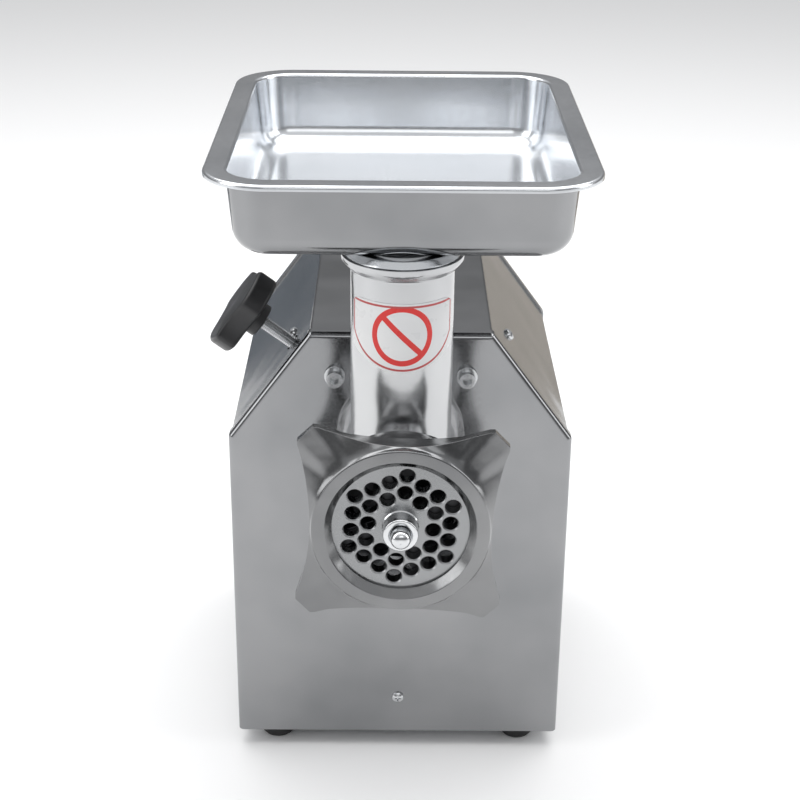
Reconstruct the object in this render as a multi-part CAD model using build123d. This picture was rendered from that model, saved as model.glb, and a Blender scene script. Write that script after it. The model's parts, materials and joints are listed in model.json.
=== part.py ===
from build123d import *
import math
import os

# Electric meat grinder. Millimetres, +Z up. The origin is on the table, in the middle of the four feet.
# The grinding head points along -Y. "Ahead" is the distance in front of the front panel's face, so what lies
# inside the casing has a negative ahead.

# ---------------------------------------------------------------- driving sizes
sheet = 1.2                    # stainless sheet of the casing
fit_gap = 0.1                  # between sheets that lie on each other
run_gap = 0.05                 # radial clearance of a shaft or spigot that moves
loose_gap = 0.5                # clearance round what only passes through
casing_width = 210.0
casing_top_width = 110.0       # flat top between the two chamfers
shoulder_drop = 68.0           # height of the chamfers
flange_depth = 8.0             # returned edge of the front and rear panels
bend_radius = 3.5
fold_radius = 4.0              # of the cover's four lengthways bends
base_flange = 34.0             # turned-up edge of the base plate
foot_height = 12.0
foot_radius = 12.0
foot_side_inset = 25.0         # from the casing's side to a foot's centre
foot_end_inset = 18.5          # from the casing's front or rear face to a foot's centre

small_screw_radius = 2.0       # M4
small_head_radius = 4.0
small_head_height = 2.4
small_screw_length = 8.0
foot_screw_radius = 2.5        # M5
foot_screw_head = 3.0
cover_screw_height = 18.0      # of the side and rear screws above the base plate
cover_screw_inset = 40.0       # of the side screws from the casing's ends
rear_screw_offset = 70.0
lower_screw_height = 26.5      # of the front panel's lower screw above the base plate
shoulder_screw_drop = 18.0     # below the casing's top, along Z
shoulder_screw_setback = 48.0  # behind the front panel's face

motor_radius = 62.0
motor_shell = 2.0
motor_ground_gap = 29.5
stator_stack = 35.0
stator_bore = 34.0
rotor_air_gap = 0.5
winding_length = 12.0
bell_thickness = 12.0
fan_length = 7.0
rear_air_gap = 20.0            # between the motor and the rear panel
fan_blades = 9
capacitor_radius = 15.0
capacitor_length = 60.0
capacitor_band = 14.0

stage_1_module = 2.0
stage_2_module = 2.25
pinion_teeth = 14
lay_gear_teeth = 46
output_gear_teeth = 42
stage_1_width = 11.0
stage_2_width = 18.0
gear_side_gap = 2.0
gear_tip_gap = 3.5
gearbox_wall = 6.0
gearbox_headroom = 8.0         # between the gearbox and the casing's top
gearbox_cover_thickness = 14.0
pressure_angle = math.radians(20)
tooth_thinning = 0.14          # taken off each tooth at the pitch circle, for backlash
gear_seat_output = 14.0
gear_seat_lay = 9.0
pinion_bore = 6.0

tail_radius = 28.0             # part of the head that sits in the gearbox socket
tail_length = 40.0
socket_wall = 8.0
socket_flange = 8.0
head_bolt_offset = 39.6        # half the square of the four bolts
head_bolt_radius = 3.0         # M6
washer_radius = 6.4
washer_thickness = 1.6
bolt_head_radius = 5.0
bolt_head_height = 6.0
bolt_socket_flats = 5.0
clamp_setback = 30.0           # clamp screw's axis behind the panel's face
groove_depth = 3.0
groove_width = 12.0

worm_radius = 30.0
worm_gap = 1.0
worm_core = 15.0
worm_pitch = 34.0
flight_thickness = 5.5
barrel_wall = 4.0
collar_radius = 39.0
collar_thickness = 6.0
flare_length = 10.0            # of the cone from the barrel to the threaded boss
neck_ahead = 58.0
neck_bore = 25.0
neck_wall = 3.5
neck_height = 138.0            # neck rim above the head's axis
neck_lip = 5.0                 # how far the rim flares out
label_low = 78.0               # above the head's axis
label_high = 118.0
label_round = 11.0
label_corner = 5.0
label_thickness = 0.25
journal_radius = 10.0
bush_wall = 5.0
tang_side = 14.0
tang_reach = 20.0              # of the tang inside the output shaft

plate_radius = 41.0
plate_thickness = 8.5
plate_ahead = 116.5            # front face of the plate
plate_hole_radius = 4.0
plate_hole_pitch = 10.33
plate_turn = 6.4               # degrees that the hole pattern is turned
plate_hub_radius = 9.6
plate_hub_length = 10.0
plate_hub_seat = 9.0           # radius of the bushing where it is pressed into the plate
key_radius = 2.0               # of the pin that stops the plate from turning
key_angle = 22.0               # degrees to the right of straight down
stud_radius = 5.5
stud_reach = 8.0               # of the stud past the plate's hub
knife_thickness = 12.0
knife_square = 15.0
nut_wall = 3.8
nut_lip = 3.4                  # how far the nut's lip covers the plate
nut_lip_thickness = 6.0
nut_length = 26.0
ear_reach = 8.8                # of the ears past the nut's round boss
ear_cut = 9.5
ear_hollow = 8.0               # depth of the hollow between two ears
nut_turn = 1.5                 # degrees that the nut stands turned at rest

clamp_radius = 4.0             # M8
clamp_stand_off = 21.5         # of the knob's hub from the chamfer
clamp_pad_length = 6.0
clamp_pad_radius = 3.2
knob_radius = 27.5
knob_thickness = 15.0
knob_hub_radius = 10.5
knob_hub_length = 7.0
knob_lobes = 3
knob_flute_depth = 6.5
knob_turn = -6.0               # degrees that the knob stands turned at rest

pan_width = 212.0
pan_length = 266.5
pan_depth = 45.0
pan_rim = 12.0
pan_lip = 3.0
pan_corner = 36.0              # outer corner of the rim
pan_bottom_radius = 13.0
pan_taper = 5.0                # degrees
pan_front_reach = 43.5         # of the rim ahead of the neck's axis
spigot_length = 34.0
spigot_wall = 1.5
spigot_collar = 3.8            # height of the collar between the neck's rim and the pan
pan_seat_gap = 0.2

switch_width = 15.0
switch_height = 30.0
switch_rise = 128.0            # of the switches' middle above the base plate
power_switch_setback = 45.0    # behind the front panel's face
direction_switch_setback = 72.0
rocker_half = 5.6
rocker_tilt = 10.0
inlet_width = 27.0
inlet_height = 20.0
inlet_depth = 16.0
inlet_rise = 17.0              # of the inlet's middle above the base plate's edge
inlet_flange_half = 25.0
inlet_flange_thickness = 2.5
inlet_screw_offset = 20.0
inlet_screw_radius = 1.5
vent_setback = 75.0            # of the side louvres' middle from the rear face
vent_rise = 58.0               # of the lowest louvre above the base plate
rear_vent_offset = 45.0
vent_slots = 7
vent_pitch = 9.0
vent_length = 46.0
vent_height = 3.0

# bearings: bore radius, outer radius, width
BEARING_OUTPUT_FRONT = (15.0, 27.5, 13.0)
BEARING_OUTPUT_REAR = (10.0, 21.0, 12.0)
BEARING_SMALL = (7.5, 17.5, 11.0)
side_float = 0.3               # between a shaft's shoulder and the bearing's face
seal_width = 5.0
seal_radius = 23.0

# ---------------------------------------------------------------- derived places
stage_1_centres = stage_1_module * (pinion_teeth + lay_gear_teeth) / 2
stage_2_centres = stage_2_module * (pinion_teeth + output_gear_teeth) / 2
motor_z = foot_height + sheet + fit_gap + motor_ground_gap + motor_radius
lay_z = motor_z + stage_1_centres
head_z = lay_z + stage_2_centres
output_tip_radius = stage_2_module * (output_gear_teeth / 2 + 0.85)
lay_tip_radius = stage_1_module * (lay_gear_teeth / 2 + 0.85)
pinion_tip_radius = stage_1_module * (pinion_teeth / 2 + 1)
output_room = output_tip_radius + gear_tip_gap
lay_room = lay_tip_radius + gear_tip_gap
pinion_room = pinion_tip_radius + gear_tip_gap
casing_top = head_z + output_room + gearbox_wall + gearbox_headroom
shoulder_z = casing_top - shoulder_drop

socket_start = -sheet - fit_gap
socket_bottom = -tail_length - 1.0
seal_end = socket_bottom - seal_width
front_bearing_end = seal_end - BEARING_OUTPUT_FRONT[2]
chamber_start = front_bearing_end
stage_2_start = chamber_start - 5.0
stage_1_start = stage_2_start - stage_2_width - gear_side_gap
chamber_end = stage_1_start - stage_1_width - gear_side_gap
gearbox_end = chamber_end - gearbox_cover_thickness
motor_start = gearbox_end
winding_start = motor_start - bell_thickness - 2.0
stator_start = winding_start - winding_length
stator_end = stator_start - stator_stack
fan_start = stator_end - winding_length - 1.0
rear_bell_start = fan_start - fan_length - 1.0
motor_end = rear_bell_start - bell_thickness
casing_length = -motor_end + rear_air_gap
front_y = -casing_length / 2

seat_radius = plate_radius + 0.2
thread_radius = seat_radius + nut_wall
nut_boss_radius = thread_radius + run_gap + nut_wall
nut_front = plate_ahead + nut_lip_thickness
nut_back = nut_front - nut_length
ear_half = nut_boss_radius + ear_reach
knife_chamber = plate_radius - 4.0
plate_back = plate_ahead - plate_thickness
knife_front = plate_back - 0.1
knife_back = knife_front - knife_thickness
worm_front = knife_back
worm_bore = worm_radius + worm_gap
worm_back = collar_thickness + 4.0
barrel_radius = worm_bore + barrel_wall
neck_radius = neck_bore + neck_wall
neck_y = front_y - neck_ahead
neck_top = head_z + neck_height
hub_front = plate_ahead + plate_hub_length
stud_front = hub_front + stud_reach
bush_radius = journal_radius + bush_wall
tang_end = -tail_length - 1.0 - tang_reach

lower_screw_place = Vector(0, front_y, foot_height + lower_screw_height)
vent_y = -front_y - vent_setback
vent_base_z = foot_height + vent_rise
switch_z = foot_height + switch_rise
switch_places = {"power": front_y + power_switch_setback, "direction": front_y + direction_switch_setback}
inlet_z = foot_height + base_flange + inlet_rise

chamfer_run = (casing_width - casing_top_width) / 2
clamp_out = Vector(-shoulder_drop, 0, chamfer_run).normalized()
clamp_origin = Vector(0, front_y + clamp_setback, head_z)
corner_from_axis = Vector(-casing_top_width / 2, 0, casing_top - head_z)
chamfer_distance = corner_from_axis.dot(clamp_out)
groove_floor = tail_radius - groove_depth
pad_end = groove_floor + fit_gap + clamp_pad_length
hub_start = chamfer_distance + clamp_stand_off
knob_start = hub_start + knob_hub_length
knob_end = knob_start + knob_thickness
clamp_boss_end = chamfer_distance - 24.0

pan_bottom = neck_top + pan_seat_gap + spigot_collar
pan_top = pan_bottom + pan_depth
pan_y = neck_y - pan_front_reach + pan_length / 2
spigot_radius = neck_bore - loose_gap

FORWARD = Vector(0, -1, 0)
OUTWARD = Vector(1, 0, 0)
UP = Vector(0, 0, 1)
HEAD_AXIS = Vector(0, front_y, head_z)
LAY_AXIS = Vector(0, front_y, lay_z)
MOTOR_AXIS = Vector(0, front_y, motor_z)


# ---------------------------------------------------------------- helpers
def turned_face(face, origin, direction):
    """A face turned round an axis. Its X is the distance along the axis, and its Y the radius."""
    along = Vector(direction).normalized()
    side = along.cross(UP) if abs(along.Z) < 0.9 else along.cross(FORWARD)
    plane = Plane(origin=origin, x_dir=along, z_dir=side.normalized())
    return revolve(plane * face, Axis(origin, along), 360)


def turned(profile, origin, direction):
    """A solid of revolution. The profile holds (distance along the axis, radius)."""
    return turned_face(make_face(Polyline(*profile, close=True)), origin, direction)


def rod(start, end, radius, origin=HEAD_AXIS, direction=FORWARD):
    return turned([(start, 0), (end, 0), (end, radius), (start, radius)], origin, direction)


def tube(start, end, inner, outer, origin=HEAD_AXIS, direction=FORWARD):
    return turned([(start, inner), (end, inner), (end, outer), (start, outer)], origin, direction)


def block(x0, x1, y0, y1, z0, z1):
    return Pos((x0 + x1) / 2, (y0 + y1) / 2, (z0 + z1) / 2) * Box(abs(x1 - x0), abs(y1 - y0), abs(z1 - z0))


def ahead_plane(ahead, z=0.0):
    """A plane across the machine, facing forward, with its local X along +X and local Y up."""
    return Plane(origin=(0, front_y - ahead, z), x_dir=(1, 0, 0), z_dir=(0, -1, 0))


def union(parts):
    whole = parts[0]
    for part in parts[1:]:
        whole = whole + part
    return whole


def save(name, shape):
    solids = shape.solids()
    export_step(solids[0] if len(solids) == 1 else Compound(children=list(solids)), f"parts/{name}.step")


# ---------------------------------------------------------------- casing
def casing_outline(inset):
    """The front view of the casing, moved in by inset, and running on below the casing."""
    below = foot_height - 40.0
    half, top_half = casing_width / 2, casing_top_width / 2
    corners = [
        (-half, below),
        (-half, shoulder_z),
        (-top_half, casing_top),
        (top_half, casing_top),
        (half, shoulder_z),
        (half, below),
    ]
    face = make_face(Polyline(*corners, close=True))
    if inset:
        face = offset(face, amount=-inset, kind=Kind.INTERSECTION)
    folds = [corner for corner in face.vertices() if corner.Y > foot_height]
    return fillet(folds, fold_radius - inset)


def casing_solid(inset, start, end, round_start=0.0):
    """The casing's outline from one distance ahead to another, with the edges at start rounded."""
    solid = extrude(ahead_plane(end) * casing_outline(inset), start - end)
    if round_start:
        rim = solid.edges().filter_by_position(Axis.Y, front_y - start - 0.01, front_y - start + 0.01)
        solid = fillet(rim, round_start)
    reach = casing_width
    return solid - block(-reach, reach, -2 * reach, 2 * reach, foot_height - 60, foot_height)


def panned_panel(front):
    """A pressed panel with its edge returned on the sides, the chamfers and the top."""
    outer = casing_solid(0, 0, -flange_depth, bend_radius)
    inner = casing_solid(sheet, -sheet, -flange_depth - 1, bend_radius - sheet)
    panel = outer - inner
    return panel if front else Rot(0, 0, 180) * panel


def front_panel():
    panel = panned_panel(True) - rod(-sheet - 1, 1, tail_radius + 1.0)
    for x, z in head_bolt_places():
        panel -= rod(-sheet - 1, 1, head_bolt_radius + fit_gap, Vector(x, front_y, z))
    return panel - rod(-sheet - 1, 1, small_screw_radius + run_gap, lower_screw_place)


def wrap_cover():
    """One bent sheet: both sides, both chamfers and the top. Its ends lie inside the panels' edges."""
    outer_inset = sheet + fit_gap
    start, end = -bend_radius - fit_gap, -casing_length + bend_radius + fit_gap
    shell = casing_solid(outer_inset, start, end) - casing_solid(outer_inset + sheet, start + 1, end - 1)
    shell -= rod(chamfer_distance - 12, chamfer_distance + 8, clamp_radius + 1.5, clamp_origin, clamp_out)
    for side in (-1, 1):
        for z in vent_heights():
            x = side * casing_width / 2
            y0, y1 = vent_y - vent_length / 2, vent_y + vent_length / 2
            shell -= block(x - 6, x + 6, y0, y1, z, z + vent_height)
    for x, y, z, direction in side_screw_places():
        shell -= rod(-6, 3, small_screw_radius + run_gap, Vector(x, y, z), direction)
    for place, direction in shoulder_screw_places():
        shell -= rod(-6, 3, small_screw_radius + run_gap, place, direction)
    wall = casing_width / 2
    reach = switch_height / 2 + fit_gap
    width = switch_width / 2 + fit_gap
    for y in switch_places.values():
        shell -= block(wall - 8, wall + 8, y - width, y + width, switch_z - reach, switch_z + reach)
    return shell


def rear_panel():
    panel = panned_panel(False)
    y = -front_y
    for z in vent_heights():
        for x in (-rear_vent_offset, rear_vent_offset):
            panel -= block(x - vent_length / 2, x + vent_length / 2, y - 5, y + 5, z, z + vent_height)
    half_w, half_h = inlet_width / 2 + fit_gap, inlet_height / 2 + fit_gap
    panel -= block(-half_w, half_w, y - 5, y + 5, inlet_z - half_h, inlet_z + half_h)
    for x in (-inlet_screw_offset, inlet_screw_offset):
        panel -= rod(-5, 5, inlet_screw_radius + run_gap, Vector(x, y, inlet_z), -FORWARD)
    for x, z in rear_screw_places():
        panel -= rod(-5, 5, small_screw_radius + run_gap, Vector(x, y, z), -FORWARD)
    return panel


def base_plate():
    """The bottom sheet, with its four edges turned up inside the cover and the panels."""
    half = casing_width / 2 - 2 * (sheet + fit_gap)
    y0, y1 = front_y + 2 * (sheet + fit_gap), -front_y - 2 * (sheet + fit_gap)
    low, high = foot_height, foot_height + base_flange
    pan = block(-half, half, y0, y1, low, high)
    pan -= block(-half + sheet, half - sheet, y0 + sheet, y1 - sheet, low + sheet, high + 1)
    for x, y in foot_places():
        pan -= rod(-1, sheet + 1, foot_screw_radius + run_gap, Vector(x, y, foot_height), UP)
    for x, y, z, direction in side_screw_places():
        pan -= rod(-6, 3, small_screw_radius + run_gap, Vector(x, y, z), direction)
    for x, z in rear_screw_places():
        pan -= rod(-8, 5, small_screw_radius + run_gap, Vector(x, -front_y, z), -FORWARD)
    return pan - rod(-8, 1, small_screw_radius + run_gap, lower_screw_place)


def vent_heights():
    return [vent_base_z + i * vent_pitch for i in range(vent_slots)]


def foot_places():
    half = casing_width / 2 - foot_side_inset
    end = -front_y - foot_end_inset
    return [(x, y) for x in (-half, half) for y in (-end, end)]


def head_bolt_places():
    offsets = (-head_bolt_offset, head_bolt_offset)
    return [(x, head_z + z) for x in offsets for z in offsets]


def side_screw_places():
    """Cover screws: the place on the cover's outer face, and the way that the head faces."""
    x = casing_width / 2 - sheet - fit_gap
    z = foot_height + cover_screw_height
    ys = (front_y + cover_screw_inset, -front_y - cover_screw_inset)
    return [(side * x, y, z, OUTWARD * side) for side in (-1, 1) for y in ys]


def rear_screw_places():
    return [(x, foot_height + cover_screw_height) for x in (-rear_screw_offset, rear_screw_offset)]


def cross_screw(place, direction, length=small_screw_length):
    """A pan-head screw with a crossed recess. The head stands on place."""
    radius, height = small_head_radius, small_head_height
    profile = [
        (-length, 0),
        (height, 0),
        (height, radius * 0.45),
        (height * 0.55, radius * 0.9),
        (0, radius),
        (0, small_screw_radius),
        (-length, small_screw_radius),
    ]
    screw = turned(profile, place, direction)
    plane = Plane(origin=place + Vector(direction) * height, z_dir=direction)
    slot = Box(radius * 1.0, 0.9, 2 * height * 0.6) + Box(0.9, radius * 1.0, 2 * height * 0.6)
    return screw - plane * slot


def head_bolt(place):
    """A hexagon socket screw that holds the gearbox flange behind the front panel."""
    start = washer_thickness
    bolt = rod(start, start + bolt_head_height, bolt_head_radius, place)
    bolt += rod(-sheet - socket_flange, start, head_bolt_radius, place)
    recess = RegularPolygon(bolt_socket_flats / math.sqrt(3), 6)
    plane = Plane(origin=place + FORWARD * (start + bolt_head_height), z_dir=FORWARD)
    return bolt - extrude(plane * recess, -bolt_head_height * 0.6)


def foot(x, y):
    """A turned rubber foot, hollow underneath for its screw."""
    profile = [
        (0, foot_screw_radius + run_gap),
        (foot_height * 0.45, foot_screw_radius + run_gap),
        (foot_height * 0.45, foot_radius * 0.42),
        (foot_height, foot_radius * 0.42),
        (foot_height, foot_radius * 0.76),
        (foot_height * 0.8, foot_radius * 0.92),
        (foot_height * 0.2, foot_radius),
        (0, foot_radius),
    ]
    return turned(profile, Vector(x, y, foot_height), -UP)


def foot_screw(x, y):
    seat = foot_height * 0.45
    top = Vector(x, y, foot_height)
    shank = rod(-sheet - 4.0, seat, foot_screw_radius, top, -UP)
    return shank + rod(seat, seat + foot_screw_head, foot_radius * 0.36, top, -UP)


def shoulder_screw_places():
    """Screws through the chamfers into the gearbox's bracket, one on each side near the front."""
    along = shoulder_screw_drop / shoulder_drop
    x = casing_top_width / 2 + chamfer_run * along
    z = casing_top - shoulder_screw_drop
    inward = sheet + fit_gap
    places = []
    for side in (-1, 1):
        out = Vector(side * shoulder_drop, 0, chamfer_run).normalized()
        place = Vector(side * x, front_y + shoulder_screw_setback, z) - out * inward
        places.append((place, out))
    return places


# ---------------------------------------------------------------- gearbox and motor
def gearbox_outline(growth):
    """Round the output gear, the layshaft gear and the motor pinion, joined by their tangents."""
    circles = [
        Pos(0, head_z) * Circle(output_room + growth),
        Pos(0, lay_z) * Circle(lay_room + growth),
        Pos(0, motor_z) * Circle(pinion_room + growth),
    ]
    width_top = min(output_room, lay_room) + growth
    joins = [
        Pos(0, (head_z + lay_z) / 2) * Rectangle(2 * width_top * 0.98, head_z - lay_z),
        Pos(0, (lay_z + motor_z) / 2) * Rectangle(2 * (pinion_room + growth), lay_z - motor_z),
    ]
    return union(circles + joins)


def gearbox_screw_places():
    """Screws of the gearbox cover, in lugs on the wall round the gears."""
    reach = output_room + gearbox_wall / 2
    low_reach = lay_room + gearbox_wall / 2
    places = []
    for angle in (20, 90, 160):
        a = math.radians(angle)
        places.append((reach * math.cos(a), head_z + reach * math.sin(a)))
    for angle in (200, 340):
        a = math.radians(angle)
        places.append((low_reach * math.cos(a), lay_z + low_reach * math.sin(a)))
    return places


def gearbox_housing():
    """The cast housing: the head's socket with its flange and clamp boss, and the gear chamber behind it."""
    wall_front = chamber_start + gearbox_wall
    body = extrude(ahead_plane(chamber_end) * gearbox_outline(gearbox_wall), wall_front - chamber_end)
    body -= extrude(ahead_plane(chamber_end) * gearbox_outline(0), chamber_start - chamber_end)
    body += rod(wall_front - 1, socket_start, tail_radius + socket_wall)
    half = head_bolt_offset + 10.0
    flange_back = front_y - socket_start + socket_flange
    body += block(-half, half, front_y - socket_start, flange_back, head_z - half, head_z + half)
    boss_radius = clamp_radius + 5.0
    body += rod(tail_radius + 2, clamp_boss_end, boss_radius, clamp_origin, clamp_out)
    body += rod(chamber_start, chamber_start + BEARING_SMALL[2] + 2, BEARING_SMALL[1] + 5, LAY_AXIS)
    body -= rod(socket_bottom, 1, tail_radius + run_gap)
    body -= rod(seal_end, socket_bottom + 1, seal_radius)
    body -= rod(chamber_start - 1, seal_end, BEARING_OUTPUT_FRONT[1])
    body -= rod(chamber_start - 1, chamber_start + BEARING_SMALL[2], BEARING_SMALL[1], LAY_AXIS)
    body -= rod(tail_radius - 4, clamp_boss_end + 1, clamp_radius + run_gap, clamp_origin, clamp_out)
    for x, z in head_bolt_places():
        body -= rod(-60, 1, head_bolt_radius + run_gap, Vector(x, front_y, z)) & block(
            -half, half, front_y, flange_back + 1, head_z - half, head_z + half
        )
    for x, z in gearbox_screw_places():
        body -= rod(chamber_end - 1, chamber_end + 12, small_screw_radius + run_gap, Vector(x, front_y, z))
    return body


def gearbox_cover():
    """The rear half, with blind seats for the rear bearings and a hole for the motor's shaft."""
    cover = extrude(ahead_plane(gearbox_end) * gearbox_outline(gearbox_wall), gearbox_cover_thickness)
    seat = BEARING_OUTPUT_REAR
    cover -= rod(chamber_end - seat[2], chamber_end + 1, seat[1])
    seat = BEARING_SMALL
    cover -= rod(chamber_end - seat[2], chamber_end + 1, seat[1], LAY_AXIS)
    cover -= rod(gearbox_end - 1, chamber_end + 1, BEARING_SMALL[0] + 3.0, MOTOR_AXIS)
    for x, z in gearbox_screw_places():
        cover -= rod(gearbox_end - 1, chamber_end + 1, small_screw_radius + run_gap, Vector(x, front_y, z))
    return cover


def gearbox_screws():
    reach = gearbox_cover_thickness + 10.0
    screws = []
    for x, z in gearbox_screw_places():
        place = Vector(x, front_y + -gearbox_end, z)
        shank = rod(-reach, 0, small_screw_radius, place, -FORWARD)
        screws.append(shank + rod(0, 3.5, small_head_radius - 0.5, place, -FORWARD))
    return union(screws)


def bearing(size, start, axis):
    """A shielded ball bearing: two races with a shield set back between them. It runs back from start."""
    bore, outer, width = size
    race = (outer - bore) * 0.28
    recess = width * 0.08
    ring = tube(start - width, start, bore, outer, axis)
    for face in (start, start - width):
        ring -= tube(face - recess, face + recess, bore + race, outer - race, axis)
    return ring


def spur_gear(module, teeth, width, bore, start, axis, addendum, mate_below):
    """A spur gear with involute flanks, each an arc through three points of the involute.
    The upper gear of a pair turns a gap down to its mate, and the lower one a tooth up."""
    pitch_r = module * teeth / 2
    base_r = pitch_r * math.cos(pressure_angle)
    tip_r = pitch_r + module * addendum
    root_r = pitch_r - module * 1.25
    flank_r = max(base_r, root_r)
    involute_at_pitch = math.tan(pressure_angle) - pressure_angle
    half_tooth = (math.pi * module / 2 - tooth_thinning) / 2 / pitch_r

    def flank_angle(radius):
        roll = math.acos(min(1.0, base_r / radius))
        return half_tooth + involute_at_pitch - (math.tan(roll) - roll)

    def spot(radius, angle):
        return (radius * math.cos(angle), radius * math.sin(angle))

    middle_r = (flank_r + tip_r) / 2
    step = 2 * math.pi / teeth
    low, mid, tip = flank_angle(flank_r), flank_angle(middle_r), flank_angle(tip_r)
    edges = []
    for i in range(teeth):
        centre = i * step
        rise = (spot(flank_r, centre - low), spot(middle_r, centre - mid), spot(tip_r, centre - tip))
        land = (spot(tip_r, centre - tip), spot(tip_r, centre), spot(tip_r, centre + tip))
        fall = (spot(tip_r, centre + tip), spot(middle_r, centre + mid), spot(flank_r, centre + low))
        roots = (centre + low, centre + step / 2, centre + step - low)
        if flank_r > root_r:
            edges.append(Line(spot(root_r, centre - low), rise[0]))
            edges.append(Line(fall[2], spot(root_r, centre + low)))
        edges += [ThreePointArc(*rise), ThreePointArc(*land), ThreePointArc(*fall)]
        edges.append(ThreePointArc(*[spot(root_r, angle) for angle in roots]))
    outline = make_face(edges) - Circle(bore)
    turn = -90 + math.degrees(step / 2) if mate_below else 90
    plane = Plane(origin=axis + FORWARD * (start - width), x_dir=(1, 0, 0), z_dir=(0, -1, 0))
    return extrude(plane * Rot(0, 0, turn) * outline, width)


def output_shaft():
    """The hollow-ended shaft that drives the worm's square tang."""
    rear = BEARING_OUTPUT_REAR
    shaft = rod(front_bearing_end, socket_bottom, BEARING_OUTPUT_FRONT[0] - run_gap)
    shaft += rod(stage_2_start - stage_2_width, front_bearing_end, gear_seat_output)
    shaft += rod(chamber_end - rear[2], stage_2_start - stage_2_width, rear[0] - run_gap)
    side = tang_side + 2 * 0.1
    depth = tang_reach + 2.0
    y0 = front_y - socket_bottom
    return shaft - block(-side / 2, side / 2, y0 - 1, y0 + depth, head_z - side / 2, head_z + side / 2)


def layshaft():
    width, journal = BEARING_SMALL[2], BEARING_SMALL[0] - run_gap
    shaft = rod(chamber_start, chamber_start + width, journal, LAY_AXIS)
    shaft += rod(chamber_end + side_float, chamber_start - side_float, gear_seat_lay, LAY_AXIS)
    return shaft + rod(chamber_end - width, chamber_start, journal, LAY_AXIS)


def motor_shell_tube():
    return tube(motor_end + bell_thickness, motor_start - bell_thickness, motor_radius - motor_shell,
                motor_radius, MOTOR_AXIS)


def motor_bell(front):
    """An end shield with a bearing seat that opens towards the rotor, and a hole for the shaft."""
    start = motor_start if front else rear_bell_start
    seat = BEARING_SMALL
    bell = rod(start - bell_thickness, start, motor_radius, MOTOR_AXIS)
    if front:
        bell -= rod(start - bell_thickness - 1, start - bell_thickness + seat[2], seat[1], MOTOR_AXIS)
        bell -= rod(start - bell_thickness, start + 1, seat[0] + 2, MOTOR_AXIS)
    else:
        bell -= rod(start - seat[2], start + 1, seat[1], MOTOR_AXIS)
    for i in range(8):
        angle = 2 * math.pi * (i + 0.5) / 8
        reach = motor_radius * 0.62
        spot = MOTOR_AXIS + Vector(reach * math.cos(angle), 0, reach * math.sin(angle))
        bell -= rod(start - bell_thickness - 1, start + 1, motor_radius * 0.13, spot)
    return bell


def stator_core():
    return tube(stator_end, stator_start, stator_bore, motor_radius - motor_shell, MOTOR_AXIS)


def stator_windings():
    """The two end turns of copper, each a rounded ring beside the core."""
    inner, outer = stator_bore + 4.0, motor_radius - motor_shell - 5.0
    rings = []
    for start, end in ((stator_start, winding_start), (stator_end, stator_end - winding_length)):
        middle = start + (end - start) * 0.7
        profile = [(start, inner), (middle, inner), (end, inner + 4)]
        profile += [(end, outer - 4), (middle, outer), (start, outer)]
        rings.append(turned(profile, MOTOR_AXIS, FORWARD))
    return union(rings)


def rotor_core():
    return tube(stator_end, stator_start, BEARING_SMALL[0] + 1, stator_bore - rotor_air_gap, MOTOR_AXIS)


def rotor_shaft():
    width, journal = BEARING_SMALL[2], BEARING_SMALL[0] - run_gap
    front = stage_1_start + 1.0
    thick_start = motor_start - bell_thickness - side_float
    shaft = rod(front - stage_1_width - 3, front, pinion_bore, MOTOR_AXIS)
    shaft += rod(thick_start, front - stage_1_width - 3, journal, MOTOR_AXIS)
    shaft += rod(fan_start, thick_start, BEARING_SMALL[0] + 1, MOTOR_AXIS)
    return shaft + rod(rear_bell_start - width, fan_start, journal, MOTOR_AXIS)


def cooling_fan():
    journal = BEARING_SMALL[0] - run_gap
    fan_end = fan_start - fan_length
    hub = tube(fan_end, fan_start, journal, BEARING_SMALL[0] + 5, MOTOR_AXIS)
    back = tube(fan_end, fan_end + 1.5, BEARING_SMALL[0] + 4, stator_bore + 14, MOTOR_AXIS)
    blades = []
    for i in range(fan_blades):
        blade = block(-0.8, 0.8, 0, fan_length - 1, BEARING_SMALL[0] + 4, stator_bore + 13)
        place = MOTOR_AXIS - FORWARD * (-fan_start)
        blades.append(Pos(*place) * Rot(0, 360 / fan_blades * i, 0) * blade)
    return union([hub, back] + blades)


def capacitor_centre():
    x = motor_radius + capacitor_radius + 4.0
    return Vector(-x, -front_y - rear_air_gap - 10.0, motor_z - 12.0)


def capacitor():
    can = rod(0, capacitor_length, capacitor_radius, capacitor_centre())
    return can + rod(-4, 0, capacitor_radius - 3, capacitor_centre())


def capacitor_bracket():
    """A band round the capacitor, with a foot that stands on the base plate."""
    centre = capacitor_centre()
    start = (capacitor_length - capacitor_band) / 2
    band = tube(start, start + capacitor_band, capacitor_radius, capacitor_radius + 1.5, centre)
    y1 = centre.Y - start
    leg_top = centre.Z - capacitor_radius - 0.5
    leg = block(centre.X - 5, centre.X + 5, y1 - capacitor_band, y1, foot_height + sheet, leg_top)
    return band + leg


def motor_cradle():
    """Folded steel saddle under the motor, standing on the base plate."""
    front = front_y - motor_start + bell_thickness + 4.0
    rear = front_y - motor_end - bell_thickness - 4.0
    reach = motor_radius * 0.7
    saddle = block(-reach, reach, front, rear, foot_height + sheet, motor_z - motor_radius * 0.6)
    saddle -= block(-reach + 3, reach - 3, front - 1, rear + 1, foot_height + sheet + 3, motor_z)
    ribs = block(-reach, reach, front, front + 4, foot_height + sheet, motor_z - motor_radius * 0.6)
    ribs += block(-reach, reach, rear - 4, rear, foot_height + sheet, motor_z - motor_radius * 0.6)
    return (saddle + ribs) - rod(-casing_length, 0, motor_radius, MOTOR_AXIS)


# ---------------------------------------------------------------- switches and inlet
def rocker_pivot(y):
    return Vector(casing_width / 2 - 4.0, y, switch_z)


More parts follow.
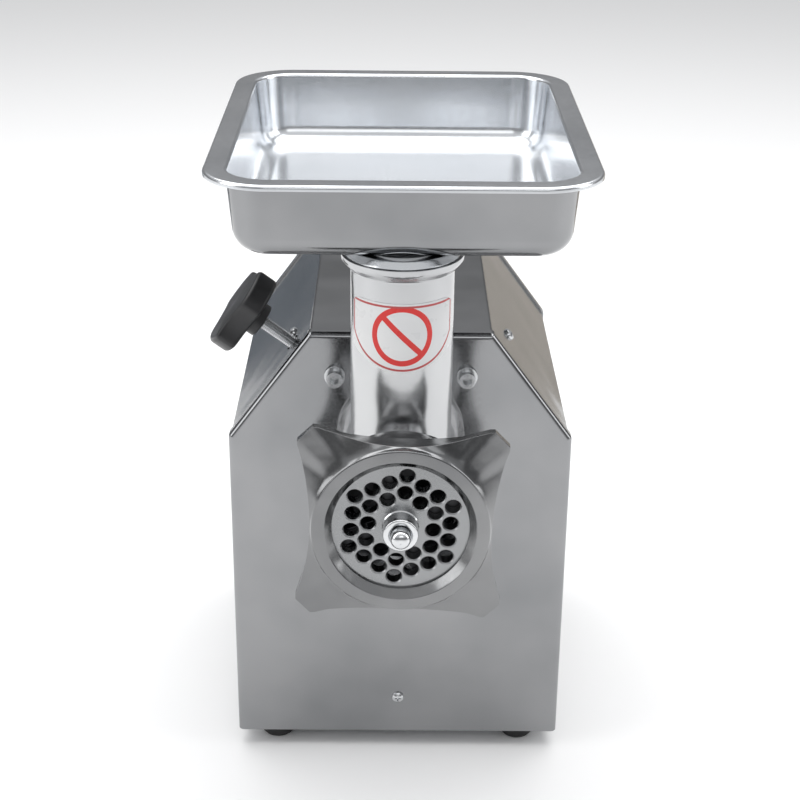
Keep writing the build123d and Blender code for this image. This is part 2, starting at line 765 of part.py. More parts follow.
def switch_housing(y):
    """A snap-in frame with a hollow for the rocker, on the right-hand side of the casing."""
    face = casing_width / 2 - sheet - fit_gap
    half_w, half_h = switch_width / 2, switch_height / 2
    lip = 2.0
    room_w, room_h = rocker_half + 0.4, half_h - 1.4
    body = block(face - 18, face, y - half_w, y + half_w, switch_z - half_h, switch_z + half_h)
    half_w, half_h = half_w + lip, half_h + lip
    body += block(face, face + 2.2, y - half_w, y + half_w, switch_z - half_h, switch_z + half_h)
    half_w = switch_width / 2
    body -= block(face - 14, face + 4, y - room_w, y + room_w, switch_z - room_h, switch_z + room_h)
    pivot = rocker_pivot(y)
    return body - rod(-half_w + 0.4, half_w - 0.4, 1.3, pivot)


def rocker(y):
    """A rocker with a shallow V face, tilted to its resting side, on a pin along Y."""
    corners = [(-3, -9), (6.2, -11.3), (4.6, 0), (6.2, 11.3), (-3, 9)]
    pivot = rocker_pivot(y)
    plane = Plane(origin=pivot + FORWARD * rocker_half, x_dir=(1, 0, 0), z_dir=(0, -1, 0))
    body = extrude(plane * make_face(Polyline(*corners, close=True)), -2 * rocker_half)
    body += rod(-switch_width / 2 + 0.6, switch_width / 2 - 0.6, 1.25, pivot)
    return body.rotate(Axis(pivot, (0, 1, 0)), -rocker_tilt)


def direction_rocker(y):
    """The same rocker, at rest in its middle position."""
    pivot = rocker_pivot(y)
    return rocker(y).rotate(Axis(pivot, (0, 1, 0)), rocker_tilt)


def power_inlet():
    """The socket of an appliance inlet, with a screwed flange on the rear panel."""
    y = -front_y
    half_w, half_h = inlet_width / 2, inlet_height / 2
    body = block(-half_w, half_w, y - inlet_depth, y, inlet_z - half_h, inlet_z + half_h)
    reach = inlet_flange_half
    flange = block(-reach, reach, y, y + inlet_flange_thickness, inlet_z - half_h - 2, inlet_z + half_h + 2)
    flange = fillet(flange.edges().filter_by(Axis.Y), 5.0)
    body += flange
    wall = 1.5
    body -= block(-half_w + wall, half_w - wall, y - inlet_depth + 3, y + 4, inlet_z - half_h + wall,
                  inlet_z + half_h - wall)
    for x in (-inlet_screw_offset, inlet_screw_offset):
        body -= rod(-3, 5, inlet_screw_radius + run_gap, Vector(x, y, inlet_z), -FORWARD)
    return body


def inlet_pins():
    y = -front_y
    pins = []
    for x, z in ((-7, -1.5), (7, -1.5), (0, 2.5)):
        pins.append(block(x - 1, x + 1, y - inlet_depth + 3, y - 2, inlet_z + z - 2, inlet_z + z + 2))
    return union(pins)


def inlet_screws():
    y = -front_y + inlet_flange_thickness
    screws = []
    for x in (-inlet_screw_offset, inlet_screw_offset):
        place = Vector(x, y, inlet_z)
        screws.append(rod(-8, 0, inlet_screw_radius, place, -FORWARD) + rod(0, 2, 2.8, place, -FORWARD))
    return union(screws)


# ---------------------------------------------------------------- grinding head
def head_casting():
    """Tail, collar, barrel and neck in one casting."""
    boss_start = nut_back + 2.0
    flare_start = boss_start - flare_length
    outer = [
        (-tail_length, 0),
        (plate_ahead - 0.5, 0),
        (plate_ahead - 0.5, thread_radius),
        (boss_start, thread_radius),
        (flare_start, barrel_radius),
        (collar_thickness + 0.5, barrel_radius),
        (collar_thickness + 0.5, collar_radius),
        (0.5, collar_radius),
        (0.5, tail_radius),
        (-tail_length, tail_radius),
    ]
    body = turned(outer, HEAD_AXIS, FORWARD)
    lip = neck_lip
    neck_profile = [
        (0, 0),
        (neck_height, 0),
        (neck_height, neck_radius + lip),
        (neck_height - 2.5, neck_radius + lip),
        (neck_height - 9, neck_radius),
        (0, neck_radius),
    ]
    neck_foot = Vector(0, neck_y, head_z)
    body += turned(neck_profile, neck_foot, UP)
    body = fillet_neck_root(body, 0.75 * (flare_start - neck_ahead - neck_radius))
    body -= turned(
        [
            (0, 0),
            (neck_height + 1, 0),
            (neck_height + 1, neck_bore + lip),
            (neck_height - 1.5, neck_bore + lip),
            (neck_height - 8, neck_bore),
            (0, neck_bore),
        ],
        neck_foot,
        UP,
    )
    body -= rod(worm_back, plate_ahead, worm_bore)
    body -= rod(knife_back - 2, plate_ahead, knife_chamber)
    body -= rod(plate_back, plate_ahead, seat_radius)
    body -= rod(-tail_length - 1, worm_back + 1, bush_radius)
    body -= clamp_groove()
    return body - key_pin_solid(0.0)


def fillet_neck_root(body, radius):
    """Rounds the join of neck and barrel, as the casting is."""
    joins = [
        e
        for e in body.edges()
        if e.geom_type not in (GeomType.LINE, GeomType.CIRCLE)
        and head_z < e.center().Z < head_z + barrel_radius + 2
    ]
    return fillet(joins, radius) if joins and radius > 0.5 else body


def clamp_groove():
    """A lengthways groove in the tail, open at its rear end, that the clamp's pad presses in."""
    along = tail_length - clamp_setback + groove_width / 2
    centre_back = -clamp_setback + groove_width / 2 - along / 2
    cutter = Box(groove_depth + 4, along + 2, groove_width)
    middle = HEAD_AXIS + FORWARD * (centre_back - 1) + clamp_out * (groove_floor + (groove_depth + 4) / 2)
    plane = Plane(origin=middle, x_dir=clamp_out, z_dir=clamp_out.cross(FORWARD))
    return plane * cutter


def key_pin_solid(clearance):
    """The pin in the seat's floor that stops the plate from turning."""
    angle = math.radians(-90 + key_angle)
    reach = plate_radius - 1.0
    place = HEAD_AXIS + Vector(reach * math.cos(angle), 0, reach * math.sin(angle))
    return rod(plate_back - 6, plate_ahead - 1.0, key_radius + clearance, place)


def rear_bush():
    return tube(-tail_length, worm_back, journal_radius + run_gap, bush_radius)


def worm():
    """The feed screw: journal, square tang, core with its flight, knife square and front stud."""
    start = worm_back + 1.0
    body = rod(-tail_length - 0.5, start, journal_radius)
    half = tang_side / 2
    y0 = front_y + tail_length
    body += block(-half, half, y0, y0 + 1 + tang_reach, head_z - half, head_z + half)
    body += turned(
        [(start, 0), (worm_front, 0), (worm_front, worm_core + 2), (start, worm_core - 2)], HEAD_AXIS, FORWARD
    )
    half = knife_square / 2
    y1 = front_y - knife_front + 1.5
    body += block(-half, half, y1, front_y - worm_front, head_z - half, head_z + half)
    stud = [(knife_back, 0), (stud_front, 0), (stud_front, stud_radius * 0.45)]
    stud += [(stud_front - 3, stud_radius), (knife_back, stud_radius)]
    body += turned(stud, HEAD_AXIS, FORWARD)
    return body + worm_flight(start)


def worm_flight(start):
    """The helical flight, swept along a helix on the head's axis."""
    height = worm_front - start - flight_thickness - 2
    path = Helix(pitch=worm_pitch, height=height, radius=worm_radius)
    inner = worm_core - 4
    section = Plane(origin=path @ 0, x_dir=(1, 0, 0), z_dir=path % 0)
    depth = worm_radius - inner
    flight = sweep(section * Pos(-depth / 2, 0) * Rectangle(depth, flight_thickness), path, is_frenet=True)
    return ahead_plane(start + flight_thickness / 2 + 1, head_z) * flight


def knife():
    """Four blades on a hub with a square hole. The flat front of each blade runs on the plate."""
    reach = knife_chamber - 1.0
    outline = Circle(knife_square * 0.9)
    for i in range(4):
        arm = Pos(reach / 2, 0) * Rectangle(reach, 9.0)
        outline += Rot(0, 0, 90 * i + 20) * arm
    side = knife_square + 2 * fit_gap
    outline -= Rectangle(side, side)
    body = extrude(ahead_plane(knife_back, head_z) * outline, knife_thickness)
    return body & rod(knife_back, knife_front, reach)


def plate_hole_places():
    """The second and third rings of a hexagonal grid round the hub."""
    places = []
    for q in range(-3, 4):
        for r in range(-3, 4):
            ring = max(abs(q), abs(r), abs(q + r))
            if ring in (2, 3):
                x = plate_hole_pitch * (q + r / 2)
                y = plate_hole_pitch * r * math.sqrt(3) / 2
                places.append((x, y))
    return places


def cutting_plate():
    disc = rod(plate_back, plate_ahead, plate_radius)
    holes = Sketch() + [Pos(x, y) * Circle(plate_hole_radius) for x, y in plate_hole_places()]
    turned_holes = ahead_plane(plate_back - 1, head_z) * Rot(0, 0, 90 - plate_turn) * holes
    disc -= extrude(turned_holes, plate_thickness + 2)
    disc -= rod(plate_back - 1, plate_ahead + 1, plate_hub_seat)
    return disc - key_pin_solid(0.3)


def plate_hub():
    """The bushing pressed into the plate, which the worm's stud turns in."""
    hub = tube(plate_back, plate_ahead, stud_radius + run_gap, plate_hub_seat)
    return hub + tube(plate_ahead, hub_front, stud_radius + run_gap, plate_hub_radius)


def nut_outline():
    """A square with cut corners, its four sides hollowed by arcs."""
    far, near = ear_half, ear_half - ear_cut
    middle = ear_half - ear_hollow
    edges = []
    for i in range(4):
        turn = Rot(0, 0, 90 * i)
        side = ThreePointArc((far, -near), (middle, 0), (far, near))
        edges += [turn * side, turn * Line((far, near), (near, far))]
    return make_face(edges)


def ring_nut():
    """The cast nut: four ears that slope back from a round boss, a thread and a lip that holds the plate."""
    body = extrude(ahead_plane(nut_back, head_z) * Rot(0, 0, -nut_turn) * nut_outline(), nut_length)
    tip_radius = ear_half * math.sqrt(2)
    slope = turned(
        [
            (nut_back, 0),
            (nut_front, 0),
            (nut_front, nut_boss_radius),
            (nut_front - 1.5, nut_boss_radius + 0.5),
            (nut_front - 9, tip_radius),
            (nut_front - 14, tip_radius),
            (nut_back + 3, nut_boss_radius + 1),
            (nut_back, nut_boss_radius + 1),
        ],
        HEAD_AXIS,
        FORWARD,
    )
    body = body & slope
    body -= rod(nut_back - 1, plate_ahead + 0.1, thread_radius + run_gap)
    opening = plate_radius - nut_lip
    return body - turned(
        [
            (plate_ahead - 1, 0),
            (nut_front + 1, 0),
            (nut_front + 1, opening + 4.6),
            (nut_front, opening + 4.0),
            (plate_ahead + 1.5, opening),
            (plate_ahead - 1, opening),
        ],
        HEAD_AXIS,
        FORWARD,
    )


def neck_label():
    """A thin foil label wrapped round the front of the neck: straight on top, rounded below."""
    neck_foot = Vector(0, neck_y, head_z)
    shell = tube(label_low, label_high, neck_radius, neck_radius + label_thickness, neck_foot, UP)
    half = neck_radius * 0.93
    shoulder = label_low + label_round
    edges = [
        Line((-half, shoulder), (-half, label_high)),
        Line((-half, label_high), (half, label_high)),
        Line((half, label_high), (half, shoulder)),
        ThreePointArc((half, shoulder), (0, label_low), (-half, shoulder)),
    ]
    face = make_face(edges)
    face = fillet(face.vertices(), label_corner)
    front = Plane(origin=(0, neck_y - 1, head_z), x_dir=(1, 0, 0), z_dir=(0, -1, 0))
    return shell & extrude(front * face, neck_radius + 2)


# ---------------------------------------------------------------- clamp
def clamp_pad():
    start = groove_floor + fit_gap
    return rod(start, pad_end, clamp_pad_radius, clamp_origin, clamp_out)


def clamp_screw():
    return rod(pad_end + run_gap, knob_end - 4.0, clamp_radius, clamp_origin, clamp_out)


def knob_outline():
    """A round with three wide flutes, so that three blunt lobes are left."""
    flute_radius = knob_radius * 1.05
    centre = knob_radius - knob_flute_depth + flute_radius
    outline = Circle(knob_radius)
    for i in range(knob_lobes):
        outline -= Rot(0, 0, 360 / knob_lobes * i) * Pos(centre, 0) * Circle(flute_radius)
    return outline


def knob_dome():
    """The round blank that the knob's slightly domed face is part of."""
    dome_radius = knob_radius * 2.6
    reach = knob_radius + 1.0
    start = hub_start - 1.0
    centre = knob_end - dome_radius

    def on_dome(radius):
        return (centre + math.sqrt(dome_radius**2 - radius**2), radius)

    edges = [
        Line((start, 0), (start, reach)),
        Line((start, reach), on_dome(reach)),
        ThreePointArc(on_dome(reach), on_dome(reach / 2), on_dome(0)),
        Line(on_dome(0), (start, 0)),
    ]
    return turned_face(make_face(edges), clamp_origin, clamp_out)


def clamp_knob():
    plane = Plane(origin=clamp_origin + clamp_out * knob_start, x_dir=(0, -1, 0), z_dir=clamp_out)
    body = extrude(plane * Rot(0, 0, knob_turn) * knob_outline(), knob_thickness)
    body += rod(hub_start, knob_start + 1, knob_hub_radius, clamp_origin, clamp_out)
    body = body & knob_dome()
    return body - rod(hub_start - 1, knob_end - 4.0, clamp_radius, clamp_origin, clamp_out)


# ---------------------------------------------------------------- feed pan
def tub(inset):
    """The pan's deep-drawn hollow, moved in by inset: tapered walls and a rounded floor."""
    width, length = pan_width - 2 * pan_rim - 2 * inset, pan_length - 2 * pan_rim - 2 * inset
    top = Plane(origin=(0, pan_y, pan_top))
    outline = RectangleRounded(width, length, pan_corner - pan_rim - inset)
    solid = extrude(top * outline, -(pan_depth - inset), taper=pan_taper)
    floor = solid.edges().filter_by_position(Axis.Z, pan_bottom + inset - 0.1, pan_bottom + inset + 0.1)
    return fillet(floor, pan_bottom_radius - inset)


def feed_pan():
    """The pan with its flat rim and turned-down lip."""
    shell = tub(0)
    rim_plane = Plane(origin=(0, pan_y, pan_top - sheet))
    rim = extrude(rim_plane * RectangleRounded(pan_width, pan_length, pan_corner), sheet)
    lip_plane = Plane(origin=(0, pan_y, pan_top - pan_lip))
    lip = RectangleRounded(pan_width, pan_length, pan_corner)
    lip -= RectangleRounded(pan_width - 2 * sheet, pan_length - 2 * sheet, pan_corner - sheet)
    shell = shell + rim + extrude(lip_plane * lip, pan_lip)
    shell -= tub(sheet)
    return shell - rod(-5, 5, spigot_radius - spigot_wall, Vector(0, neck_y, pan_bottom), UP)


def pan_spigot():
    """The short tube under the pan, with the collar that stands on the neck's rim."""
    inner = spigot_radius - spigot_wall
    foot_place = Vector(0, neck_y, pan_bottom)
    spigot = tube(-spigot_length, 0, inner, spigot_radius, foot_place, UP)
    collar_outer = neck_bore + neck_lip + 2.0
    collar = [(-spigot_collar, inner), (0, inner), (0, collar_outer - 3), (-spigot_collar, collar_outer)]
    return spigot + turned(collar, foot_place, UP)


# ---------------------------------------------------------------- assembly
def build():
    os.makedirs("parts", exist_ok=True)
    small_width = BEARING_SMALL[2]
    made = {
        "front_panel": front_panel(),
        "wrap_cover": wrap_cover(),
        "rear_panel": rear_panel(),
        "base_plate": base_plate(),
        "lower_panel_screw": cross_screw(lower_screw_place, FORWARD),
        "cover_screws": union([cross_screw(Vector(x, y, z), d) for x, y, z, d in side_screw_places()]),
        "shoulder_screws": union([cross_screw(place, out) for place, out in shoulder_screw_places()]),
        "rear_panel_screws": union(
            [cross_screw(Vector(x, -front_y, z), -FORWARD) for x, z in rear_screw_places()]
        ),
        "head_bolts": union([head_bolt(Vector(x, front_y, z)) for x, z in head_bolt_places()]),
        "head_bolt_washers": union(
            [
                tube(0, washer_thickness, head_bolt_radius + run_gap, washer_radius, Vector(x, front_y, z))
                for x, z in head_bolt_places()
            ]
        ),
        "foot_screws": union([foot_screw(x, y) for x, y in foot_places()]),
        "gearbox_housing": gearbox_housing(),
        "gearbox_cover": gearbox_cover(),
        "gearbox_screws": gearbox_screws(),
        "output_seal": tube(seal_end, socket_bottom, BEARING_OUTPUT_FRONT[0] + run_gap, seal_radius),
        "output_bearings": bearing(BEARING_OUTPUT_FRONT, seal_end, HEAD_AXIS)
        + bearing(BEARING_OUTPUT_REAR, chamber_end, HEAD_AXIS),
        "layshaft_bearings": bearing(BEARING_SMALL, chamber_start + small_width, LAY_AXIS)
        + bearing(BEARING_SMALL, chamber_end, LAY_AXIS),
        "motor_bearings": bearing(BEARING_SMALL, motor_start - bell_thickness + small_width, MOTOR_AXIS)
        + bearing(BEARING_SMALL, rear_bell_start, MOTOR_AXIS),
        "output_shaft": output_shaft(),
        "output_gear": spur_gear(stage_2_module, output_gear_teeth, stage_2_width, gear_seat_output,
                                 stage_2_start, HEAD_AXIS, 0.85, True),
        "layshaft": layshaft(),
        "layshaft_pinion": spur_gear(stage_2_module, pinion_teeth, stage_2_width, gear_seat_lay,
                                     stage_2_start, LAY_AXIS, 1.0, False),
        "layshaft_gear": spur_gear(stage_1_module, lay_gear_teeth, stage_1_width, gear_seat_lay,
                                   stage_1_start, LAY_AXIS, 0.85, True),
        "motor_pinion": spur_gear(stage_1_module, pinion_teeth, stage_1_width, pinion_bore,
                                  stage_1_start, MOTOR_AXIS, 1.0, False),
        "motor_shell": motor_shell_tube(),
        "motor_front_bell": motor_bell(True),
        "motor_rear_bell": motor_bell(False),
        "stator_core": stator_core(),
        "stator_windings": stator_windings(),
        "rotor_core": rotor_core(),
        "rotor_shaft": rotor_shaft(),
        "cooling_fan": cooling_fan(),
        "motor_cradle": motor_cradle(),
        "capacitor": capacitor(),
        "capacitor_bracket": capacitor_bracket(),
        "power_switch_housing": switch_housing(switch_places["power"]),
        "power_rocker": rocker(switch_places["power"]),
        "direction_switch_housing": switch_housing(switch_places["direction"]),
        "direction_rocker": direction_rocker(switch_places["direction"]),
        "power_inlet": power_inlet(),
        "inlet_pins": inlet_pins(),
        "inlet_screws": inlet_screws(),
        "head_casting": head_casting(),
        "rear_bush": rear_bush(),
        "plate_key_pin": key_pin_solid(0.0),
        "neck_label": neck_label(),
        "worm": worm(),
        "knife": knife(),
        "cutting_plate": cutting_plate(),
        "plate_hub": plate_hub(),
        "ring_nut": ring_nut(),
        "clamp_pad": clamp_pad(),
        "clamp_screw": clamp_screw(),
        "clamp_knob": clamp_knob(),
        "feed_pan": feed_pan(),
        "pan_spigot": pan_spigot(),
    }
    # Each foot is a node of its own: front or rear, left or right as the user faces the head.
    for x, y in foot_places():
        name = f"foot_{'front' if y < 0 else 'rear'}_{'left' if x < 0 else 'right'}"
        made[name] = foot(x, y)
    for name, shape in made.items():
        save(name, shape)
    print("head axis", round(head_z, 2), "casing", round(casing_length, 2), "top", round(casing_top, 2),
          "pan", round(pan_bottom, 2), round(pan_top, 2), "nodes", len(made))


build()
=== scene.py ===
"""Electric meat grinder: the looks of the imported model. Metres, +Z up, the head points along -Y."""
import json
import math

import bmesh
import bpy
from mathutils import Matrix, Vector


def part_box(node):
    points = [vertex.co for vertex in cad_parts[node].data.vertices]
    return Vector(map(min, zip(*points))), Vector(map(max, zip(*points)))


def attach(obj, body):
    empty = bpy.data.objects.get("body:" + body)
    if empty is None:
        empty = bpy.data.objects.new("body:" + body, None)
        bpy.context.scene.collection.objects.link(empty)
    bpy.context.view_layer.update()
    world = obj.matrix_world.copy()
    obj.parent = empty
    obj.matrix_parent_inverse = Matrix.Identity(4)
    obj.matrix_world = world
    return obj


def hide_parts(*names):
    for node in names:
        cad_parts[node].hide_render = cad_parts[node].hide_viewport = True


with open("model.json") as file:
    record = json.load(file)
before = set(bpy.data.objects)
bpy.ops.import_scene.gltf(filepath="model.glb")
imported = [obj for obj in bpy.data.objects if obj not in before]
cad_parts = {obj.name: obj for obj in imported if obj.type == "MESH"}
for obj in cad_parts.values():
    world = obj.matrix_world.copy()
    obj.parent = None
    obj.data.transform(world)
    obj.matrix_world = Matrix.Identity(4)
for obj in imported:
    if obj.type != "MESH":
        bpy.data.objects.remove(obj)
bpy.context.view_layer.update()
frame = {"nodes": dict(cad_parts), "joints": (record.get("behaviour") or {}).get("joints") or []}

# ---------------------------------------------------------------- studio
# A plain pale floor, a large soft light overhead, a softer one on each side, and a room that is darker
# behind the machine than above it. Cards outside the picture give the polished steel something to mirror.
casing_low, casing_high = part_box("wrap_cover")
panel_low, panel_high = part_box("front_panel")
front_y = panel_low.y
scene = bpy.context.scene
scene.view_settings.view_transform = "Standard"
scene.view_settings.look = "None"


def place_camera(place, pitch, yaw, roll, lens):
    data = bpy.data.cameras.new("camera")
    data.sensor_width = 36.0
    data.lens = lens
    camera = bpy.data.objects.new("camera", data)
    turn = Matrix.Rotation(-yaw, 3, "Z") @ Matrix.Rotation(math.pi / 2 - pitch, 3, "X")
    turn = turn @ Matrix.Rotation(roll, 3, "Z")
    camera.matrix_world = Matrix.Translation(place) @ turn.to_4x4()
    scene.collection.objects.link(camera)
    scene.camera = camera


camera_distance, camera_height, camera_aside = 0.8991, 0.6520, -0.0049
camera_pitch, camera_yaw, camera_roll, camera_lens = math.radians(24.0), 0.005, math.radians(0.55), 73.4
camera_place = (camera_aside, front_y - camera_distance, camera_height)
place_camera(camera_place, camera_pitch, camera_yaw, camera_roll, camera_lens)


def paint_world():
    world = bpy.data.worlds.new("room")
    scene.world = world
    world.use_nodes = True
    tree = world.node_tree
    place = tree.nodes.new("ShaderNodeTexCoord")
    split = tree.nodes.new("ShaderNodeSeparateXYZ")
    tree.links.new(place.outputs["Generated"], split.inputs["Vector"])
    ramp = tree.nodes.new("ShaderNodeValToRGB")
    height = tree.nodes.new("ShaderNodeMapRange")
    height.inputs["From Min"].default_value = -1.0
    tree.links.new(split.outputs["Z"], height.inputs["Value"])
    tree.links.new(height.outputs["Result"], ramp.inputs["Fac"])
    stops = ramp.color_ramp.elements
    stops[0].position, stops[0].color = 0.0, (0.45, 0.46, 0.48, 1)
    stops[1].position, stops[1].color = 1.0, (1.0, 1.0, 1.0, 1)
    for position, grey in ((0.5, 0.42), (0.57, 0.30), (0.64, 0.34), (0.70, 0.70), (0.85, 0.95)):
        stop = stops.new(position)
        stop.color = (grey, grey * 1.01, grey * 1.03, 1)
    tree.links.new(ramp.outputs["Color"], tree.nodes["Background"].inputs["Color"])
    tree.nodes["Background"].inputs["Strength"].default_value = 0.72


paint_world()


def soft_light(name, place, target, width, height, power, colour=(1, 1, 1)):
    data = bpy.data.lights.new(name, "AREA")
    data.shape = "RECTANGLE"
    data.size, data.size_y = width, height
    data.energy = power
    data.color = colour
    light = bpy.data.objects.new(name, data)
    aim = Vector(target) - Vector(place)
    light.matrix_world = Matrix.Translation(place) @ aim.to_track_quat("-Z", "Y").to_matrix().to_4x4()
    scene.collection.objects.link(light)
    return light


soft_light("overhead", (0.0, 0.25, 1.9), (0, 0, 0.3), 2.6, 2.0, 43)
soft_light("left_side", (-1.6, -0.6, 1.0), (0, 0, 0.25), 0.9, 1.4, 9)
soft_light("right_side", (1.7, -0.3, 0.9), (0, 0, 0.25), 0.8, 1.3, 7)
soft_light("front_fill", (0.3, -2.2, 1.6), (0, 0, 0.2), 1.6, 0.8, 4)


def plain_material(name, colour, roughness):
    material = bpy.data.materials.new(name)
    material.use_nodes = True
    shader = material.node_tree.nodes["Principled BSDF"]
    shader.inputs["Base Color"].default_value = (*colour, 1)
    shader.inputs["Roughness"].default_value = roughness
    return material


def stage_sheet(name, centre, across, up, colour, seen=True):
    """A flat sheet of the studio, from its middle and its two half sides."""
    shape = bmesh.new()
    bmesh.ops.create_grid(shape, x_segments=1, y_segments=1, size=1.0)
    across, up = Vector(across), Vector(up)
    facing = across.cross(up).normalized()
    turn = Matrix((across, up, facing)).transposed().to_4x4()
    bmesh.ops.transform(shape, matrix=Matrix.Translation(centre) @ turn, verts=shape.verts)
    mesh = bpy.data.meshes.new(name)
    shape.to_mesh(mesh)
    shape.free()
    sheet = bpy.data.objects.new(name, mesh)
    mesh.materials.append(plain_material(name, colour, 0.9))
    scene.collection.objects.link(sheet)
    sheet.visible_camera = seen
    sheet.visible_diffuse = seen
    sheet.visible_shadow = seen


stage_sheet("floor", (0, 2.0, 0), (9, 0, 0), (0, 9, 0), (0.86, 0.86, 0.86))
for name, centre, across, up, colour in (
    ("dark_card_left", (-0.52, 0.75, 0.20), (0.26, 0.08, 0), (0, 0, 0.19), (0.13, 0.145, 0.165)),
    ("bright_strip_left", (-0.40, 0.70, 0.20), (0.022, 0.007, 0), (0.05, 0, 0.19), (0.9, 0.9, 0.9)),
    ("bright_strip_far_left", (-0.60, 0.68, 0.20), (0.03, 0.01, 0), (0.03, 0, 0.19), (0.6, 0.6, 0.6)),
    ("warm_card_right", (0.52, 0.75, 0.20), (0.26, -0.08, 0), (0, 0, 0.19), (0.42, 0.39, 0.35)),
):
    stage_sheet(name, centre, across, up, colour, seen=False)


# ---------------------------------------------------------------- casing sheets
# The front panel, the cover that wraps over both sides and the top, and the rear panel: 1.2 mm stainless
# sheet, pressed and folded, then polished to a mirror that still shows the ripple of the sheet.
def noise_factor(tree, scale, detail, stretch=(1, 1, 1), turn=(0, 0, 0)):
    """A noise that stands still on the piece."""
    place = tree.nodes.new("ShaderNodeTexCoord")
    mapping = tree.nodes.new("ShaderNodeMapping")
    mapping.inputs["Scale"].default_value = stretch
    mapping.inputs["Rotation"].default_value = turn
    noise = tree.nodes.new("ShaderNodeTexNoise")
    noise.inputs["Scale"].default_value = scale
    noise.inputs["Detail"].default_value = detail
    tree.links.new(place.outputs["Object"], mapping.inputs["Vector"])
    tree.links.new(mapping.outputs["Vector"], noise.inputs["Vector"])
    return noise.outputs["Fac"]


def between(tree, factor, low, high, start=0.3, end=0.7):
    """Spreads a factor over the values from low to high."""
    remap = tree.nodes.new("ShaderNodeMapRange")
    remap.inputs["From Min"].default_value = start
    remap.inputs["From Max"].default_value = end
    remap.inputs["To Min"].default_value = low
    remap.inputs["To Max"].default_value = high
    tree.links.new(factor, remap.inputs["Value"])
    return remap.outputs["Result"]


def two_tone(tree, factor, first, second):
    """A colour that goes from first to second with the factor."""
    ramp = tree.nodes.new("ShaderNodeValToRGB")
    ramp.color_ramp.elements[0].position = 0.3
    ramp.color_ramp.elements[1].position = 0.7
    ramp.color_ramp.elements[0].color = (*first, 1)
    ramp.color_ramp.elements[1].color = (*second, 1)
    tree.links.new(factor, ramp.inputs["Fac"])
    return ramp.outputs["Color"]


def relief(tree, factor, height, under=None):
    """A bump as high as height, in metres, on top of another bump."""
    bump = tree.nodes.new("ShaderNodeBump")
    bump.inputs["Distance"].default_value = height
    tree.links.new(factor, bump.inputs["Height"])
    if under:
        tree.links.new(under, bump.inputs["Normal"])
    return bump.outputs["Normal"]


def metal(name, colour, dark, rough, ripple, grain, lay=(1, 1, 1)):
    """A metal. colour and dark are its two tones, rough the least and most roughness, ripple the scale
    and height of its slow waves, grain the scale and height of its fine marks, and lay their direction."""
    material = bpy.data.materials.new(name)
    material.use_nodes = True
    tree = material.node_tree
    shader = tree.nodes["Principled BSDF"]
    shader.inputs["Metallic"].default_value = 1.0
    smudge = noise_factor(tree, 14.0, 3.0)
    marks = noise_factor(tree, grain[0], 4.0, lay)
    waves = noise_factor(tree, ripple[0], 1.5)
    tree.links.new(two_tone(tree, smudge, dark, colour), shader.inputs["Base Color"])
    mixed = tree.nodes.new("ShaderNodeMath")
    mixed.operation = "MULTIPLY_ADD"
    mixed.inputs[1].default_value = 0.5
    tree.links.new(marks, mixed.inputs[0])
    half = tree.nodes.new("ShaderNodeMath")
    half.operation = "MULTIPLY"
    half.inputs[1].default_value = 0.5
    tree.links.new(smudge, half.inputs[0])
    tree.links.new(half.outputs["Value"], mixed.inputs[2])
    tree.links.new(between(tree, mixed.outputs["Value"], *rough), shader.inputs["Roughness"])
    slow = relief(tree, waves, ripple[1])
    tree.links.new(relief(tree, marks, grain[1], slow), shader.inputs["Normal"])
    return material


polished_sheet = metal(
    "polished_sheet",
    (0.32, 0.322, 0.328),
    (0.25, 0.255, 0.262),
    (0.08, 0.18),
    (13.0, 0.0016),
    (900.0, 0.0000004),
)


def add_piece(shape, name, body, slot, material, *stands_for):
    """Makes an object of the shape, on its body and in place of its CAD nodes."""
    mesh = bpy.data.meshes.new(name)
    shape.to_mesh(mesh)
    shape.free()
    mesh.materials.clear()
    mesh.materials.append(material)
    piece = bpy.data.objects.new(name, mesh)
    scene.collection.objects.link(piece)
    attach(piece, body)
    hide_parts(*stands_for)
    return piece


def ease(piece, rounding, sharp=32.0, segments=2):
    """Breaks the piece's sharp edges by a small radius, and shades its curves smooth and its flats flat."""
    for polygon in piece.data.polygons:
        polygon.use_smooth = True
    if rounding:
        bevel = piece.modifiers.new("broken_edges", "BEVEL")
        bevel.width = rounding
        bevel.segments = segments
        bevel.limit_method = "ANGLE"
        bevel.angle_limit = math.radians(sharp)
        bevel.use_clamp_overlap = True
    else:
        piece.data.set_sharp_from_angle(angle=math.radians(sharp))
    weigh = piece.modifiers.new("flat_faces", "WEIGHTED_NORMAL")
    weigh.keep_sharp = True
    weigh.weight = 80
    return piece


def eased_node(node, name, body, slot, material, rounding=0.0, sharp=32.0, segments=2):
    """A merged copy of a node with its edges broken, in place of the node."""
    shape = bmesh.new()
    shape.from_mesh(frame["nodes"][node].data)
    bmesh.ops.remove_doubles(shape, verts=shape.verts, dist=1e-6)
    piece = add_piece(shape, name, body, slot, material, node)
    return ease(piece, rounding, sharp, segments)


eased_node("front_panel", "front_panel_sheet", "casing", "polished_sheet", polished_sheet)
eased_node("wrap_cover", "wrap_cover_sheet", "casing", "polished_sheet", polished_sheet)
eased_node("rear_panel", "rear_panel_sheet", "casing", "polished_sheet", polished_sheet)

# ---------------------------------------------------------------- base, cradle and capacitor band
# The base plate with its turned-up edges, the cradle that carries the motor, and the band round the
# capacitor. All are folded from plain galvanised sheet, which stays dull and shows a soft zinc pattern.
galvanised = metal(
    "galvanised_sheet", (0.50, 0.51, 0.53), (0.40, 0.41, 0.43), (0.30, 0.48), (60.0, 0.0001), (400.0, 0.00001)
)
for node in ("base_plate", "motor_cradle", "capacitor_bracket"):
    eased_node(node, node + "_folded", "casing", "plain_sheet", galvanised)


